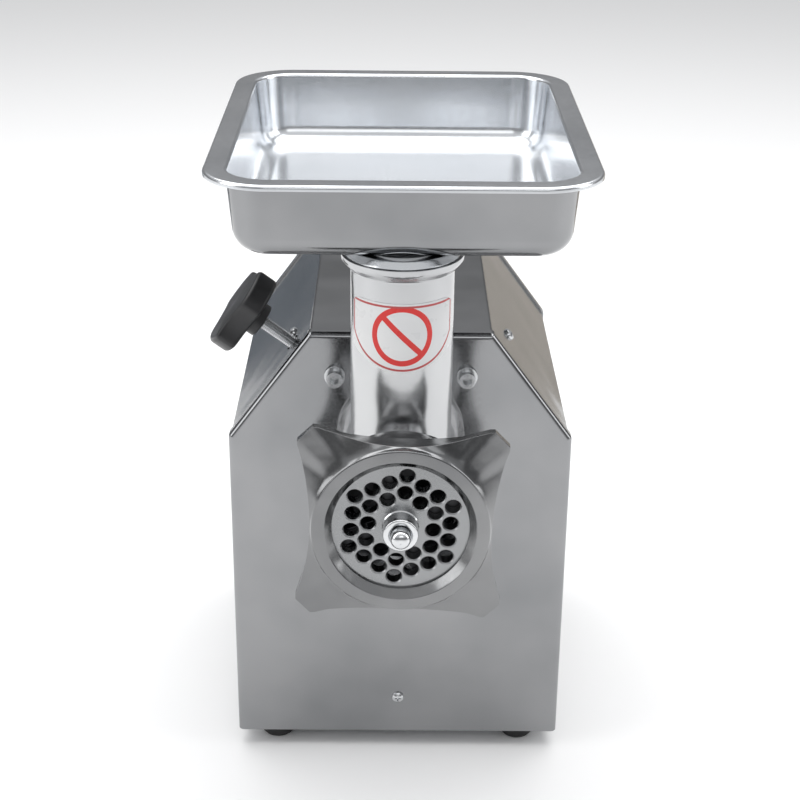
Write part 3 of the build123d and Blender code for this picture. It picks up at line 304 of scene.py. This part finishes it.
# ---------------------------------------------------------------- feet
# Four turned rubber feet, hollow underneath, each held by a screw from below. The rubber is matt.
def moulded(name, colour, worn, rough, grain, gloss=0.5):
    """A rubber or plastic, with a fine moulded grain and a slightly paler worn tone."""
    material = bpy.data.materials.new(name)
    material.use_nodes = True
    tree = material.node_tree
    shader = tree.nodes["Principled BSDF"]
    shader.inputs["Specular IOR Level"].default_value = gloss
    cloud = noise_factor(tree, 45.0, 4.0)
    pores = noise_factor(tree, grain[0], 2.0)
    tree.links.new(two_tone(tree, cloud, colour, worn), shader.inputs["Base Color"])
    tree.links.new(between(tree, cloud, *rough), shader.inputs["Roughness"])
    tree.links.new(relief(tree, pores, grain[1]), shader.inputs["Normal"])
    return material


black_rubber = moulded(
    "black_rubber", (0.012, 0.012, 0.013), (0.03, 0.03, 0.031), (0.6, 0.8), (900.0, 0.00008)
)
for end in ("front", "rear"):
    for side in ("left", "right"):
        node = f"foot_{end}_{side}"
        eased_node(node, node + "_rubber", "casing", "black_rubber", black_rubber, 0.0006, 32, 3)
eased_node("output_seal", "output_seal_rubber", "casing", "black_rubber", black_rubber, 0.0003)

# ---------------------------------------------------------------- screws and bolts
# Bright stainless pan-head screws with a crossed recess, and four socket bolts on washers that hold the
# gearbox behind the front panel. Their heads are turned, so fine rings show in the light.
fastener = metal(
    "bright_fastener",
    (0.66, 0.67, 0.68),
    (0.55, 0.56, 0.57),
    (0.12, 0.26),
    (200.0, 0.00002),
    (1500.0, 0.000002),
)
for node in (
    "lower_panel_screw",
    "cover_screws",
    "shoulder_screws",
    "rear_panel_screws",
    "head_bolts",
    "head_bolt_washers",
    "foot_screws",
    "gearbox_screws",
    "inlet_screws",
):
    eased_node(node, node + "_turned", "casing", "fasteners", fastener, 0.00022)

# ---------------------------------------------------------------- head casting
# One stainless casting: tail, barrel, threaded boss and the neck with its flared rim. It is ground and
# polished, and keeps a slow unevenness from the casting under the shine. The bush inside is bronze.
polished_casting = metal(
    "polished_casting",
    (0.54, 0.545, 0.55),
    (0.45, 0.455, 0.465),
    (0.14, 0.26),
    (38.0, 0.0009),
    (1100.0, 0.000001),
)
eased_node("head_casting", "head_casting_polished", "head", "polished_casting", polished_casting, 0.0005, 38)
bronze = metal(
    "bronze", (0.62, 0.42, 0.20), (0.48, 0.31, 0.14), (0.2, 0.35), (90.0, 0.00005), (900.0, 0.000002)
)
eased_node("rear_bush", "rear_bush_bronze", "head", "bronze", bronze, 0.0002)
eased_node("plate_key_pin", "plate_key_pin_steel", "head", "fasteners", fastener, 0.0002)


# ---------------------------------------------------------------- neck label
# A thin foil sticker wrapped round the neck, silver-white, with a red keep-out ring and bar and a thin
# dark-red border. The print is made in the label's own unrolled width and height.
spigot_low, spigot_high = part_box("pan_spigot")
neck_centre = (spigot_low + spigot_high) / 2
label_low, label_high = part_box("neck_label")


def printed_label(name):
    neck_radius = 0.0287
    ring_centre = label_low.z + 0.0215
    ring_outer, ring_inner, bar_half = 0.0172, 0.0140, 0.0016
    border_reach, border_inset, border_bow, border_half = 0.0322, 0.0018, 0.0375, 0.0006
    material = bpy.data.materials.new(name)
    material.use_nodes = True
    tree = material.node_tree
    shader = tree.nodes["Principled BSDF"]

    def math_node(kind, first, second=None):
        node = tree.nodes.new("ShaderNodeMath")
        node.operation = kind
        for socket, value in zip(node.inputs, (first, second)):
            if value is None:
                continue
            if isinstance(value, (int, float)):
                socket.default_value = value
            else:
                tree.links.new(value, socket)
        return node.outputs["Value"]

    place = tree.nodes.new("ShaderNodeTexCoord")
    split = tree.nodes.new("ShaderNodeSeparateXYZ")
    tree.links.new(place.outputs["Object"], split.inputs["Vector"])
    away = math_node("SUBTRACT", neck_centre.y, split.outputs["Y"])
    across = math_node("MULTIPLY", math_node("ARCTAN2", split.outputs["X"], away), neck_radius)
    up = math_node("SUBTRACT", split.outputs["Z"], ring_centre)
    reach = math_node("SQRT", math_node("ADD", math_node("POWER", across, 2), math_node("POWER", up, 2)))
    inside = math_node("LESS_THAN", reach, ring_outer)
    band = math_node("MULTIPLY", inside, math_node("GREATER_THAN", reach, ring_inner))
    slant = math_node("MULTIPLY", math_node("ADD", across, up), math.sqrt(0.5))
    bar = math_node("MULTIPLY", inside, math_node("LESS_THAN", math_node("ABSOLUTE", slant), bar_half))
    sign = math_node("MAXIMUM", band, bar)
    edge_x = math_node("SUBTRACT", math_node("ABSOLUTE", across), border_reach)
    edge_top = math_node("SUBTRACT", split.outputs["Z"], label_high.z - border_inset)
    low_centre = label_low.z + border_inset + border_bow
    drop = math_node("SUBTRACT", split.outputs["Z"], low_centre)
    fall = math_node("SQRT", math_node("ADD", math_node("POWER", across, 2), math_node("POWER", drop, 2)))
    below = math_node("LESS_THAN", drop, 0)
    edge_low = math_node("MULTIPLY", math_node("SUBTRACT", fall, border_bow), below)
    outline = math_node("MAXIMUM", math_node("MAXIMUM", edge_x, edge_top), edge_low)
    border = math_node("LESS_THAN", math_node("ABSOLUTE", outline), border_half)
    print_mix = tree.nodes.new("ShaderNodeMix")
    print_mix.data_type = "RGBA"
    tree.links.new(sign, print_mix.inputs["Factor"])
    foil = two_tone(tree, noise_factor(tree, 30.0, 2.0), (0.66, 0.665, 0.675), (0.76, 0.76, 0.76))
    tree.links.new(foil, print_mix.inputs["A"])
    print_mix.inputs["B"].default_value = (0.66, 0.025, 0.02, 1)
    border_mix = tree.nodes.new("ShaderNodeMix")
    border_mix.data_type = "RGBA"
    tree.links.new(border, border_mix.inputs["Factor"])
    tree.links.new(print_mix.outputs["Result"], border_mix.inputs["A"])
    border_mix.inputs["B"].default_value = (0.45, 0.06, 0.06, 1)
    tree.links.new(border_mix.outputs["Result"], shader.inputs["Base Color"])
    tree.links.new(between(tree, noise_factor(tree, 120.0, 2.0), 0.25, 0.4), shader.inputs["Roughness"])
    return material


eased_node("neck_label", "neck_label_foil", "head", "label_foil", printed_label("printed_foil"))

# ---------------------------------------------------------------- worm, knife, plate and hub
# The worm and knife are dark tool steel and turn together. The plate stands still in front of them: its
# face is ground flat, its holes are drilled and chamfered, and a bright turned hub is pressed into it.
ground_steel = metal(
    "ground_steel", (0.32, 0.325, 0.33), (0.25, 0.255, 0.26), (0.22, 0.36), (60.0, 0.0001), (700.0, 0.000002)
)
bright_steel = metal(
    "bright_steel", (0.70, 0.71, 0.72), (0.60, 0.61, 0.62), (0.10, 0.2), (90.0, 0.00005), (900.0, 0.000002)
)
oiled_steel = metal(
    "oiled_steel", (0.16, 0.16, 0.165), (0.09, 0.09, 0.095), (0.35, 0.55), (60.0, 0.0002), (500.0, 0.00001)
)
plate_low, plate_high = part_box("cutting_plate")
hub_low, hub_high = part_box("plate_hub")
worm_low, worm_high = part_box("worm")
head_centre = (plate_low + plate_high) / 2


def turned_piece(profile, centre, segments=96):
    """A turned piece along the head's axis. The profile holds (distance along Y, radius)."""
    shape = bmesh.new()
    corners = [shape.verts.new((centre.x + radius, y, centre.z)) for y, radius in profile]
    edges = [shape.edges.new(pair) for pair in zip(corners, corners[1:])]
    bmesh.ops.spin(
        shape,
        geom=corners + edges,
        cent=(centre.x, 0, centre.z),
        axis=(0, 1, 0),
        angle=2 * math.pi,
        steps=segments,
        use_merge=True,
    )
    bmesh.ops.remove_doubles(shape, verts=shape.verts, dist=1e-6)
    bmesh.ops.recalc_face_normals(shape, faces=shape.faces)
    return shape


# The worm is cast and left dark inside the barrel, and its stud in front is turned bright, so the stud is
# made as a piece of its own and the cast part stops inside the hub.
stud_joint = hub_low.y + 0.004
cast_worm = bmesh.new()
cast_worm.from_mesh(frame["nodes"]["worm"].data)
bmesh.ops.remove_doubles(cast_worm, verts=cast_worm.verts, dist=1e-6)
bmesh.ops.bisect_plane(
    cast_worm,
    geom=cast_worm.verts[:] + cast_worm.edges[:] + cast_worm.faces[:],
    plane_co=(0, stud_joint, 0),
    plane_no=(0, -1, 0),
    clear_outer=True,
)
bmesh.ops.holes_fill(cast_worm, edges=[edge for edge in cast_worm.edges if edge.is_boundary], sides=0)
ease(add_piece(cast_worm, "worm_cast", "worm", "ground_steel", oiled_steel, "worm"), 0.0004, 38)
stud_radius, dome, relief_cut, flat_tip = 0.0055, 0.0040, 0.0002, 0.0006
turns = [math.pi / 2 * i / 8 for i in range(9)]
stud = [(stud_joint, 0.0), (stud_joint, stud_radius - relief_cut)]
stud += [(hub_low.y - 0.0025, stud_radius - relief_cut)]
stud += [(hub_low.y - 0.0029, stud_radius)]
stud += [
    (worm_low.y + dome - dome * math.sin(a), flat_tip + (stud_radius - flat_tip) * math.cos(a)) for a in turns
]
stud += [(worm_low.y + 0.0004, 0.0)]
ease(add_piece(turned_piece(stud, head_centre), "worm_stud", "worm", "ground_steel", bright_steel), 0.0, 60)
eased_node("knife", "knife_ground", "worm", "ground_steel", oiled_steel, 0.0003)


def hub_profile():
    outer, seat, bore, round_off, foot, lead_in = 0.0096, 0.009, 0.00555, 0.0010, 0.0006, 0.0012
    loop = [(plate_high.y, bore), (plate_high.y, seat), (plate_low.y, seat), (plate_low.y, outer + foot)]
    loop += [(plate_low.y - foot, outer)]
    front = hub_low.y
    for a in turns:
        height = front + round_off - round_off * math.sin(a)
        loop.append((height, outer - round_off + round_off * math.cos(a)))
    loop += [(front, bore + lead_in), (front + lead_in, bore), (plate_high.y, bore)]
    return loop


hub_shape = turned_piece(hub_profile(), head_centre)
hub = add_piece(hub_shape, "plate_hub_turned", "plate", "bearing_steel", bright_steel, "plate_hub")
ease(hub, 0.0, 40)


def hole_places(pitch, turn):
    """The second and third rings of a hexagonal grid round the hub."""
    for q in range(-3, 4):
        for r in range(-3, 4):
            if max(abs(q), abs(r), abs(q + r)) in (2, 3):
                yield Matrix.Rotation(turn, 2) @ Vector((pitch * (q + r / 2), pitch * r * math.sqrt(3) / 2))


def ring_of(shape, centre, radius, height, segments):
    made = bmesh.ops.create_circle(
        shape, segments=segments, radius=radius, matrix=Matrix.Translation((centre[0], centre[1], height))
    )
    return made["verts"], list({edge for corner in made["verts"] for edge in corner.link_edges})


def cutting_plate():
    """Drilled and chamfered from both faces. It is laid out flat with its front up, and stood up last."""
    radius, hole, seat, chamfer, edge_break = plate_high.x, 0.004, 0.00905, 0.0007, 0.0006
    thick = plate_high.y - plate_low.y
    pitch, grid_turn, seat_break = 0.01033, math.radians(90 - 6.4), 0.0002
    key_angle, key_radius, key_reach = math.radians(-90 + 22), 0.0023, 0.0024
    key = (radius - 0.001) * Vector((math.cos(key_angle), math.sin(key_angle)))
    shape = bmesh.new()
    rims = {thick: [], 0.0: []}
    bores = [(place, hole, chamfer, 32) for place in hole_places(pitch, grid_turn)]
    bores.append((Vector((0, 0)), seat, seat_break, 96))
    for place, bore, cut, segments in bores:
        levels = ((thick, cut), (thick - cut, 0.0), (cut, 0.0), (0.0, cut))
        loops = [ring_of(shape, place, bore + extra, height, segments)[1] for height, extra in levels]
        for upper, lower in zip(loops, loops[1:]):
            bmesh.ops.bridge_loops(shape, edges=upper + lower)
        rims[thick] += loops[0]
        rims[0.0] += loops[-1]
    levels = ((thick, edge_break), (thick - edge_break, 0.0), (edge_break, 0.0), (0.0, edge_break))
    loops = []
    for height, drop in levels:
        corners, edges = ring_of(shape, (0, 0), radius - drop, height, 180)
        for corner in corners:
            gap = (corner.co.xy - key).length
            if gap < key_reach:
                depth = math.sqrt(max(0.0, key_radius**2 - gap**2) + 1e-8)
                corner.co.xy = key - key.normalized() * depth
        loops.append(edges)
    for upper, lower in zip(loops, loops[1:]):
        bmesh.ops.bridge_loops(shape, edges=upper + lower)
    rims[thick] += loops[0]
    rims[0.0] += loops[-1]
    for edges in rims.values():
        bmesh.ops.triangle_fill(shape, use_beauty=True, use_dissolve=False, edges=edges)
    bmesh.ops.remove_doubles(shape, verts=shape.verts, dist=1e-6)
    bmesh.ops.recalc_face_normals(shape, faces=shape.faces)
    stand = Matrix.Translation((0, plate_high.y, head_centre.z)) @ Matrix.Rotation(math.pi / 2, 4, "X")
    bmesh.ops.transform(shape, matrix=stand, verts=shape.verts)
    return shape


plate_shape = cutting_plate()
plate = add_piece(plate_shape, "cutting_plate_ground", "plate", "ground_steel", ground_steel, "cutting_plate")
ease(plate, 0.0, 30)

# ---------------------------------------------------------------- ring nut
# A polished casting screwed on by hand: a round boss, and four ears that sweep back to thin cut corners. It
# is turned inside for its thread and for the lip that holds the plate, and its faces are buffed hollow. Its
# metal is a darker copy of the head casting's, a painted shade that sets the nut apart from the panel behind.
nut_low, nut_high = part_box("ring_nut")
nut_turn = math.radians(1.5)
boss_radius = 0.04885
ear_far, ear_cut, ear_hollow = 0.05765, 0.0095, 0.008


def ear_reach(angle):
    """The nut's outline at an angle: a square with cut corners and hollowed sides."""
    angle = abs((angle + math.pi / 4) % (math.pi / 2) - math.pi / 4)
    near = ear_far - ear_cut
    if angle > math.atan2(near, ear_far):
        return (ear_far + near) / (math.cos(angle) + math.sin(angle))
    bow = (near**2 + ear_hollow**2) / (2 * ear_hollow)
    centre = ear_far - ear_hollow + bow
    return centre * math.cos(angle) - math.sqrt(bow**2 - (centre * math.sin(angle)) ** 2)


def ring_nut():
    back, front = nut_high.y, nut_low.y
    thread, opening, tip = 0.0451, 0.0376, 0.0815
    lip = plate_low.y + 0.0001
    rim = 0.0012
    loop = [(lip, thread), (lip, opening), (front + 0.0045, opening), (front + 0.0008, 0.0410)]
    loop += [(front, 0.0418), (front, boss_radius - rim), (front + 0.0004, boss_radius - 0.0004)]
    loop += [(front + rim, boss_radius)]
    steps = 9
    for i in range(1, steps + 1):
        share = i / steps
        loop.append((front + rim + 0.0075 * share**0.62, boss_radius + (tip - boss_radius) * share))
    for i in range(steps, -1, -1):
        share = i / steps
        loop.append((back - 0.003 - 0.0095 * share**0.7, boss_radius + (tip - boss_radius) * share))
    loop += [(back - 0.0006, boss_radius), (back, boss_radius - 0.0006), (back, thread + 0.0008)]
    loop += [(back - 0.0008, thread)]
    shape = bmesh.new()
    corners = [shape.verts.new((radius, y, head_centre.z)) for y, radius in loop]
    edges = [shape.edges.new((corners[i - 1], corners[i])) for i in range(len(corners))]
    bmesh.ops.spin(
        shape,
        geom=corners + edges,
        cent=(0, 0, head_centre.z),
        axis=(0, 1, 0),
        angle=2 * math.pi,
        steps=240,
        use_merge=True,
    )
    for corner in shape.verts:
        x, z = corner.co.x, corner.co.z - head_centre.z
        reach, angle = math.hypot(x, z), math.atan2(z, x) + nut_turn
        if reach > boss_radius + 0.00001:
            share = (reach - boss_radius) / (tip - boss_radius)
            wanted = boss_radius + share * (ear_reach(angle) - boss_radius)
            corner.co.x, corner.co.z = x * wanted / reach, head_centre.z + z * wanted / reach
            # next to the hollows the ear is short, so its faces fall away less
            stand = min(1.0, (ear_reach(angle) - boss_radius) / 0.018)
            on_front = corner.co.y < (front + back) / 2 + 0.0005
            if on_front:
                corner.co.y = front + rim + (corner.co.y - front - rim) * (0.25 + 0.75 * stand)
    bmesh.ops.remove_doubles(shape, verts=shape.verts, dist=1e-6)
    bmesh.ops.recalc_face_normals(shape, faces=shape.faces)
    return shape


# A darker copy of the head casting's metal: painted shade, so the nut's ears stand apart from the panel.
casting_painted_shade = metal(
    "casting_painted_shade",
    (0.26, 0.262, 0.265),
    (0.165, 0.168, 0.172),
    (0.12, 0.27),
    (45.0, 0.0012),
    (900.0, 0.000002),
)
nut = add_piece(ring_nut(), "ring_nut_polished", "nut", "polished_casting", casting_painted_shade, "ring_nut")
ease(nut, 0.0007, 35, 3)

# ---------------------------------------------------------------- clamp
# An M8 steel screw with a rolled thread and a three-lobed knob moulded on it in black plastic. It passes
# through the chamfer into the gearbox's boss, and its pad holds the head in its socket.
eased_node("clamp_pad", "clamp_pad_steel", "clamp_foot", "fasteners", fastener, 0.0003)
clamp_joint = next(joint for joint in frame["joints"] if joint["name"] == "clamp_turn")
clamp_base = Vector(clamp_joint["pos_m"])
clamp_out = Vector(clamp_joint["axis"]).normalized()
clamp_across = Vector((0, -1, 0))
clamp_turned = Matrix((clamp_across, clamp_out.cross(clamp_across), clamp_out)).transposed().to_4x4()
clamp_frame = Matrix.Translation(clamp_base) @ clamp_turned


def reach_along_clamp(node):
    """How far a node starts and ends along the clamp's axis."""
    along = [(corner.co - clamp_base).dot(clamp_out) for corner in frame["nodes"][node].data.vertices]
    return min(along), max(along)


def threaded_rod(start, end, crest, root, pitch):
    """A rolled thread along Z: one V of the thread, turned up round the axis, with its ends closed."""
    shape = bmesh.new()
    turns = int((end - start) / pitch) - 1
    per_turn = 24
    profile = ((0.0, root), (0.12, root), (0.44, crest), (0.56, crest), (0.88, root), (1.0, root))
    corners = [shape.verts.new((radius, 0, start + share * pitch)) for share, radius in profile]
    edges = [shape.edges.new(pair) for pair in zip(corners, corners[1:])]
    bmesh.ops.spin(
        shape,
        geom=corners + edges,
        cent=(0, 0, 0),
        axis=(0, 0, 1),
        dvec=(0, 0, pitch / per_turn),
        angle=2 * math.pi * turns,
        steps=per_turn * turns,
    )
    bmesh.ops.remove_doubles(shape, verts=shape.verts, dist=2e-6)
    bmesh.ops.holes_fill(shape, edges=[edge for edge in shape.edges if edge.is_boundary], sides=0)
    bmesh.ops.recalc_face_normals(shape, faces=shape.faces)
    return shape


thread_crest, thread_root, thread_pitch = 0.00398, 0.0033, 0.00125
screw_shape = threaded_rod(*reach_along_clamp("clamp_screw"), thread_crest, thread_root, thread_pitch)
bmesh.ops.transform(screw_shape, matrix=clamp_frame, verts=screw_shape.verts)
ease(add_piece(screw_shape, "clamp_screw_rolled", "clamp", "fasteners", fastener, "clamp_screw"), 0.0, 60)
black_plastic = moulded(
    "black_plastic", (0.010, 0.010, 0.011), (0.022, 0.022, 0.024), (0.32, 0.5), (700.0, 0.00006)
)


def knob_reach(angle, radius, flute_depth):
    """The knob's outline at an angle: a round with three wide flutes, softly blended into its lobes."""
    step = 2 * math.pi / 3
    angle = abs((angle + step / 2) % step - step / 2)
    flute = radius * 1.05
    centre = radius - flute_depth + flute
    inside = flute**2 - (centre * math.sin(angle)) ** 2
    hollow = centre * math.cos(angle) - math.sqrt(inside) if inside > 0 else radius * 1.3
    blend = 0.0011
    return -blend * math.log(math.exp(-hollow / blend) + math.exp(-radius / blend))


def clamp_knob():
    """A turned profile of hub, rounded rims and domed face, drawn in to the flutes all round."""
    hub_start, top = reach_along_clamp("clamp_knob")
    radius, hub_radius, hub_length, flute_depth = 0.0275, 0.0105, 0.007, 0.0065
    rim, crown, hub_break = 0.0026, 0.0015, 0.0007
    base, brow = hub_start + hub_length, top - crown
    loop = [(hub_start, 0.0), (hub_start, hub_radius - hub_break)]
    loop += [(hub_start + hub_break, hub_radius), (base, hub_radius)]
    turns = [math.pi / 2 * i / 5 for i in range(6)]
    loop += [(base + rim - rim * math.cos(a), radius - rim + rim * math.sin(a)) for a in turns]
    loop += [(brow - rim + rim * math.sin(a), radius - rim + rim * math.cos(a)) for a in turns]
    loop += [(brow + crown * (1 - share**2), (radius - rim) * share) for share in (0.85, 0.7, 0.55, 0.4)]
    loop += [(top - 0.0005, 0.0072), (top - 0.0005, 0.0040), (top - 0.0003, 0.0)]
    shape = bmesh.new()
    corners = [shape.verts.new((reach, 0, height)) for height, reach in loop]
    edges = [shape.edges.new(pair) for pair in zip(corners, corners[1:])]
    bmesh.ops.spin(
        shape,
        geom=corners + edges,
        cent=(0, 0, 0),
        axis=(0, 0, 1),
        angle=2 * math.pi,
        steps=180,
        use_merge=True,
    )
    for corner in shape.verts:
        x, y = corner.co.x, corner.co.y
        reach = math.hypot(x, y)
        if reach > hub_radius + 0.0001:
            outline = knob_reach(math.atan2(y, x), radius, flute_depth)
            wanted = hub_radius + (reach - hub_radius) * (outline - hub_radius) / (radius - hub_radius)
            corner.co.x, corner.co.y = x * wanted / reach, y * wanted / reach
    bmesh.ops.remove_doubles(shape, verts=shape.verts, dist=1e-6)
    bmesh.ops.recalc_face_normals(shape, faces=shape.faces)
    return shape


knob_shape = clamp_knob()
knob_turn = Matrix.Rotation(math.radians(-6), 4, "Z")
bmesh.ops.transform(knob_shape, matrix=clamp_frame @ knob_turn, verts=knob_shape.verts)
knob = add_piece(knob_shape, "clamp_knob_moulded", "clamp", "black_plastic", black_plastic, "clamp_knob")
ease(knob, 0.0, 50)

# ---------------------------------------------------------------- feed pan
# Deep-drawn from stainless sheet, satin inside and polished outside, with a turned-down rim. A short
# spigot under it stands in the neck. The inside and the spigot have a much paler copy of the sheet's metal,
# a painted light that brightens the inside of the pan.
# Paler than the casing's sheet: painted light that brightens the pan's inside and its spigot.
pan_sheet_painted_light = metal(
    "pan_sheet_painted_light", (0.74, 0.755, 0.775), (0.69, 0.71, 0.735), (0.17, 0.25), (11.0, 0.0008), (260.0, 0.0000006)
)
pan_low, pan_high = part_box("feed_pan")
pan_centre = (pan_low + pan_high) / 2
pan_wall = 0.0012


def bend(radius, start, end, count):
    """Steps (inward, up) round a bend. The heading is in degrees: 0 is up, 90 inward and 180 down."""
    turn = math.radians(end - start) / count
    chord = abs(2 * radius * math.sin(turn / 2))
    headings = [math.radians(start) + turn * (i + 0.5) for i in range(count)]
    return [(chord * math.sin(heading), chord * math.cos(heading)) for heading in headings]


def drawn_pan():
    """The skin seen from above: up the lip, over the rim, down the wall and round to the floor."""
    lip, lip_bend, rim, inner_bend, floor_bend, draft = 0.003, 0.0018, 0.0132, 0.0022, 0.0118, 175.0
    corner_round, floor_ring = 0.036, 0.002
    width, length = pan_high.x - pan_low.x, pan_high.y - pan_low.y
    shape = bmesh.new()
    bmesh.ops.create_grid(shape, x_segments=1, y_segments=1, size=0.5)
    bmesh.ops.scale(shape, vec=(width, length, 1), verts=shape.verts)
    bmesh.ops.translate(shape, vec=(pan_centre.x, pan_centre.y, pan_high.z - lip), verts=shape.verts)
    bmesh.ops.bevel(
        shape,
        geom=shape.verts[:],
        offset=corner_round,
        offset_type="OFFSET",
        segments=18,
        profile=0.5,
        affect="VERTICES",
        material=-1,
    )
    steps = [(0, lip - lip_bend)] + bend(lip_bend, 0, 90, 6)
    cos_draft = -math.cos(math.radians(draft))
    steps.append((rim - lip_bend - inner_bend * cos_draft, 0))
    steps += bend(inner_bend, 90, draft, 7)
    floor_turn = bend(floor_bend, draft, 90, 12)
    done = sum(up for _, up in steps) + sum(up for _, up in floor_turn)
    drop = done - lip - (pan_low.z + pan_wall - pan_high.z)
    rings = 4
    steps += [(drop / rings * math.tan(math.radians(180 - draft)), -drop / rings)] * rings
    steps += floor_turn
    floor = shape.faces[:][0]
    for inward, up in steps:
        bmesh.ops.inset_region(
            shape, faces=[floor], thickness=inward, depth=up, use_even_offset=True, use_boundary=True
        )
    bmesh.ops.inset_region(
        shape, faces=[floor], thickness=floor_ring, depth=0, use_even_offset=True, use_boundary=True
    )
    return shape


def cut_round_hole(piece, centre, radius):
    """Drills the piece through with a round cutter, after its wall has been given its thickness."""
    cutter_shape = bmesh.new()
    bmesh.ops.create_cone(
        cutter_shape, cap_ends=True, segments=96, radius1=radius, radius2=radius, depth=0.06,
        matrix=Matrix.Translation(centre),
    )
    cutter_mesh = bpy.data.meshes.new("drill")
    cutter_shape.to_mesh(cutter_mesh)
    cutter_shape.free()
    cutter = bpy.data.objects.new("drill", cutter_mesh)
    scene.collection.objects.link(cutter)
    drill = piece.modifiers.new("drill", "BOOLEAN")
    drill.object = cutter
    drill.solver = "EXACT"
    bpy.context.view_layer.update()
    drilled = piece.evaluated_get(bpy.context.evaluated_depsgraph_get())
    made = bpy.data.meshes.new_from_object(drilled)
    piece.modifiers.clear()
    piece.data = made
    bpy.data.objects.remove(cutter)


pan = add_piece(drawn_pan(), "feed_pan_drawn", "pan", "polished_sheet", pan_sheet_painted_light, "feed_pan")
wall = pan.modifiers.new("wall", "SOLIDIFY")
wall.thickness = pan_wall
wall.offset = -1
wall.use_even_offset = True
wall.material_offset = 1
pan.data.materials.append(polished_sheet)
throat_radius = 0.023
cut_round_hole(pan, (neck_centre.x, neck_centre.y, pan_low.z), throat_radius)
ease(pan, 0.0, 40)
eased_node("pan_spigot", "pan_spigot_rolled", "pan", "polished_sheet", pan_sheet_painted_light, 0.0004)

# ---------------------------------------------------------------- switches and inlet
# Two rocker switches that snap into the cover, the power rocker red and the other black, and an appliance
# inlet on the rear panel. All are moulded plastic, and the inlet's pins have a brass tone.
for node in ("power_switch_housing", "direction_switch_housing", "power_inlet"):
    eased_node(node, node + "_moulded", "casing", "black_plastic", black_plastic, 0.0004)
red_plastic = moulded(
    "red_plastic", (0.42, 0.012, 0.010), (0.50, 0.02, 0.016), (0.2, 0.32), (500.0, 0.00002)
)
for node, slot, plastic in (
    ("direction_rocker", "black_plastic", black_plastic),
    ("power_rocker", "red_plastic", red_plastic),
):
    eased_node(node, node + "_moulded", node, slot, plastic, 0.0004)
eased_node("inlet_pins", "inlet_pins_brass", "casing", "bronze", bronze, 0.0003)

# ---------------------------------------------------------------- drive
# Hidden inside the casing: a motor and a two-stage gearbox in cast aluminium, cut steel gears and shafts,
# bearings, a laminated rotor and stator with copper windings, a fan and a capacitor.
cast_aluminium = metal(
    "cast_aluminium", (0.52, 0.53, 0.55), (0.42, 0.43, 0.45), (0.42, 0.62), (120.0, 0.0003), (1500.0, 0.00005)
)
gear_steel = metal(
    "gear_steel", (0.36, 0.37, 0.38), (0.27, 0.28, 0.29), (0.22, 0.4), (80.0, 0.00005), (900.0, 0.000004)
)
for node in ("gearbox_housing", "gearbox_cover", "motor_front_bell", "motor_rear_bell", "motor_shell"):
    eased_node(node, node + "_cast", "casing", "cast_aluminium", cast_aluminium, 0.0006)
for node in ("output_bearings", "layshaft_bearings", "motor_bearings"):
    eased_node(node, node + "_ground", "casing", "bearing_steel", bright_steel, 0.0003)
for body, nodes in (
    ("output", ("output_shaft", "output_gear")),
    ("layshaft", ("layshaft", "layshaft_gear", "layshaft_pinion")),
    ("rotor", ("rotor_shaft", "motor_pinion")),
):
    for node in nodes:
        eased_node(node, node + "_cut", body, "gear_steel", gear_steel)
lamination = metal(
    "lamination_steel",
    (0.22, 0.23, 0.24),
    (0.15, 0.155, 0.16),
    (0.4, 0.6),
    (40.0, 0.00005),
    (300.0, 0.00004),
    (0.1, 9, 0.1),
)
eased_node("stator_core", "stator_core_stack", "casing", "laminations", lamination)
eased_node("rotor_core", "rotor_core_stack", "rotor", "laminations", lamination)
copper = metal(
    "enamelled_copper",
    (0.60, 0.26, 0.10),
    (0.42, 0.16, 0.06),
    (0.25, 0.4),
    (60.0, 0.0002),
    (260.0, 0.0004),
    (1, 3, 1),
)
eased_node("stator_windings", "stator_windings_wound", "casing", "copper_wire", copper)
eased_node("cooling_fan", "cooling_fan_moulded", "rotor", "black_plastic", black_plastic, 0.0003)
eased_node("capacitor", "capacitor_can", "casing", "capacitor_can", cast_aluminium, 0.0006)
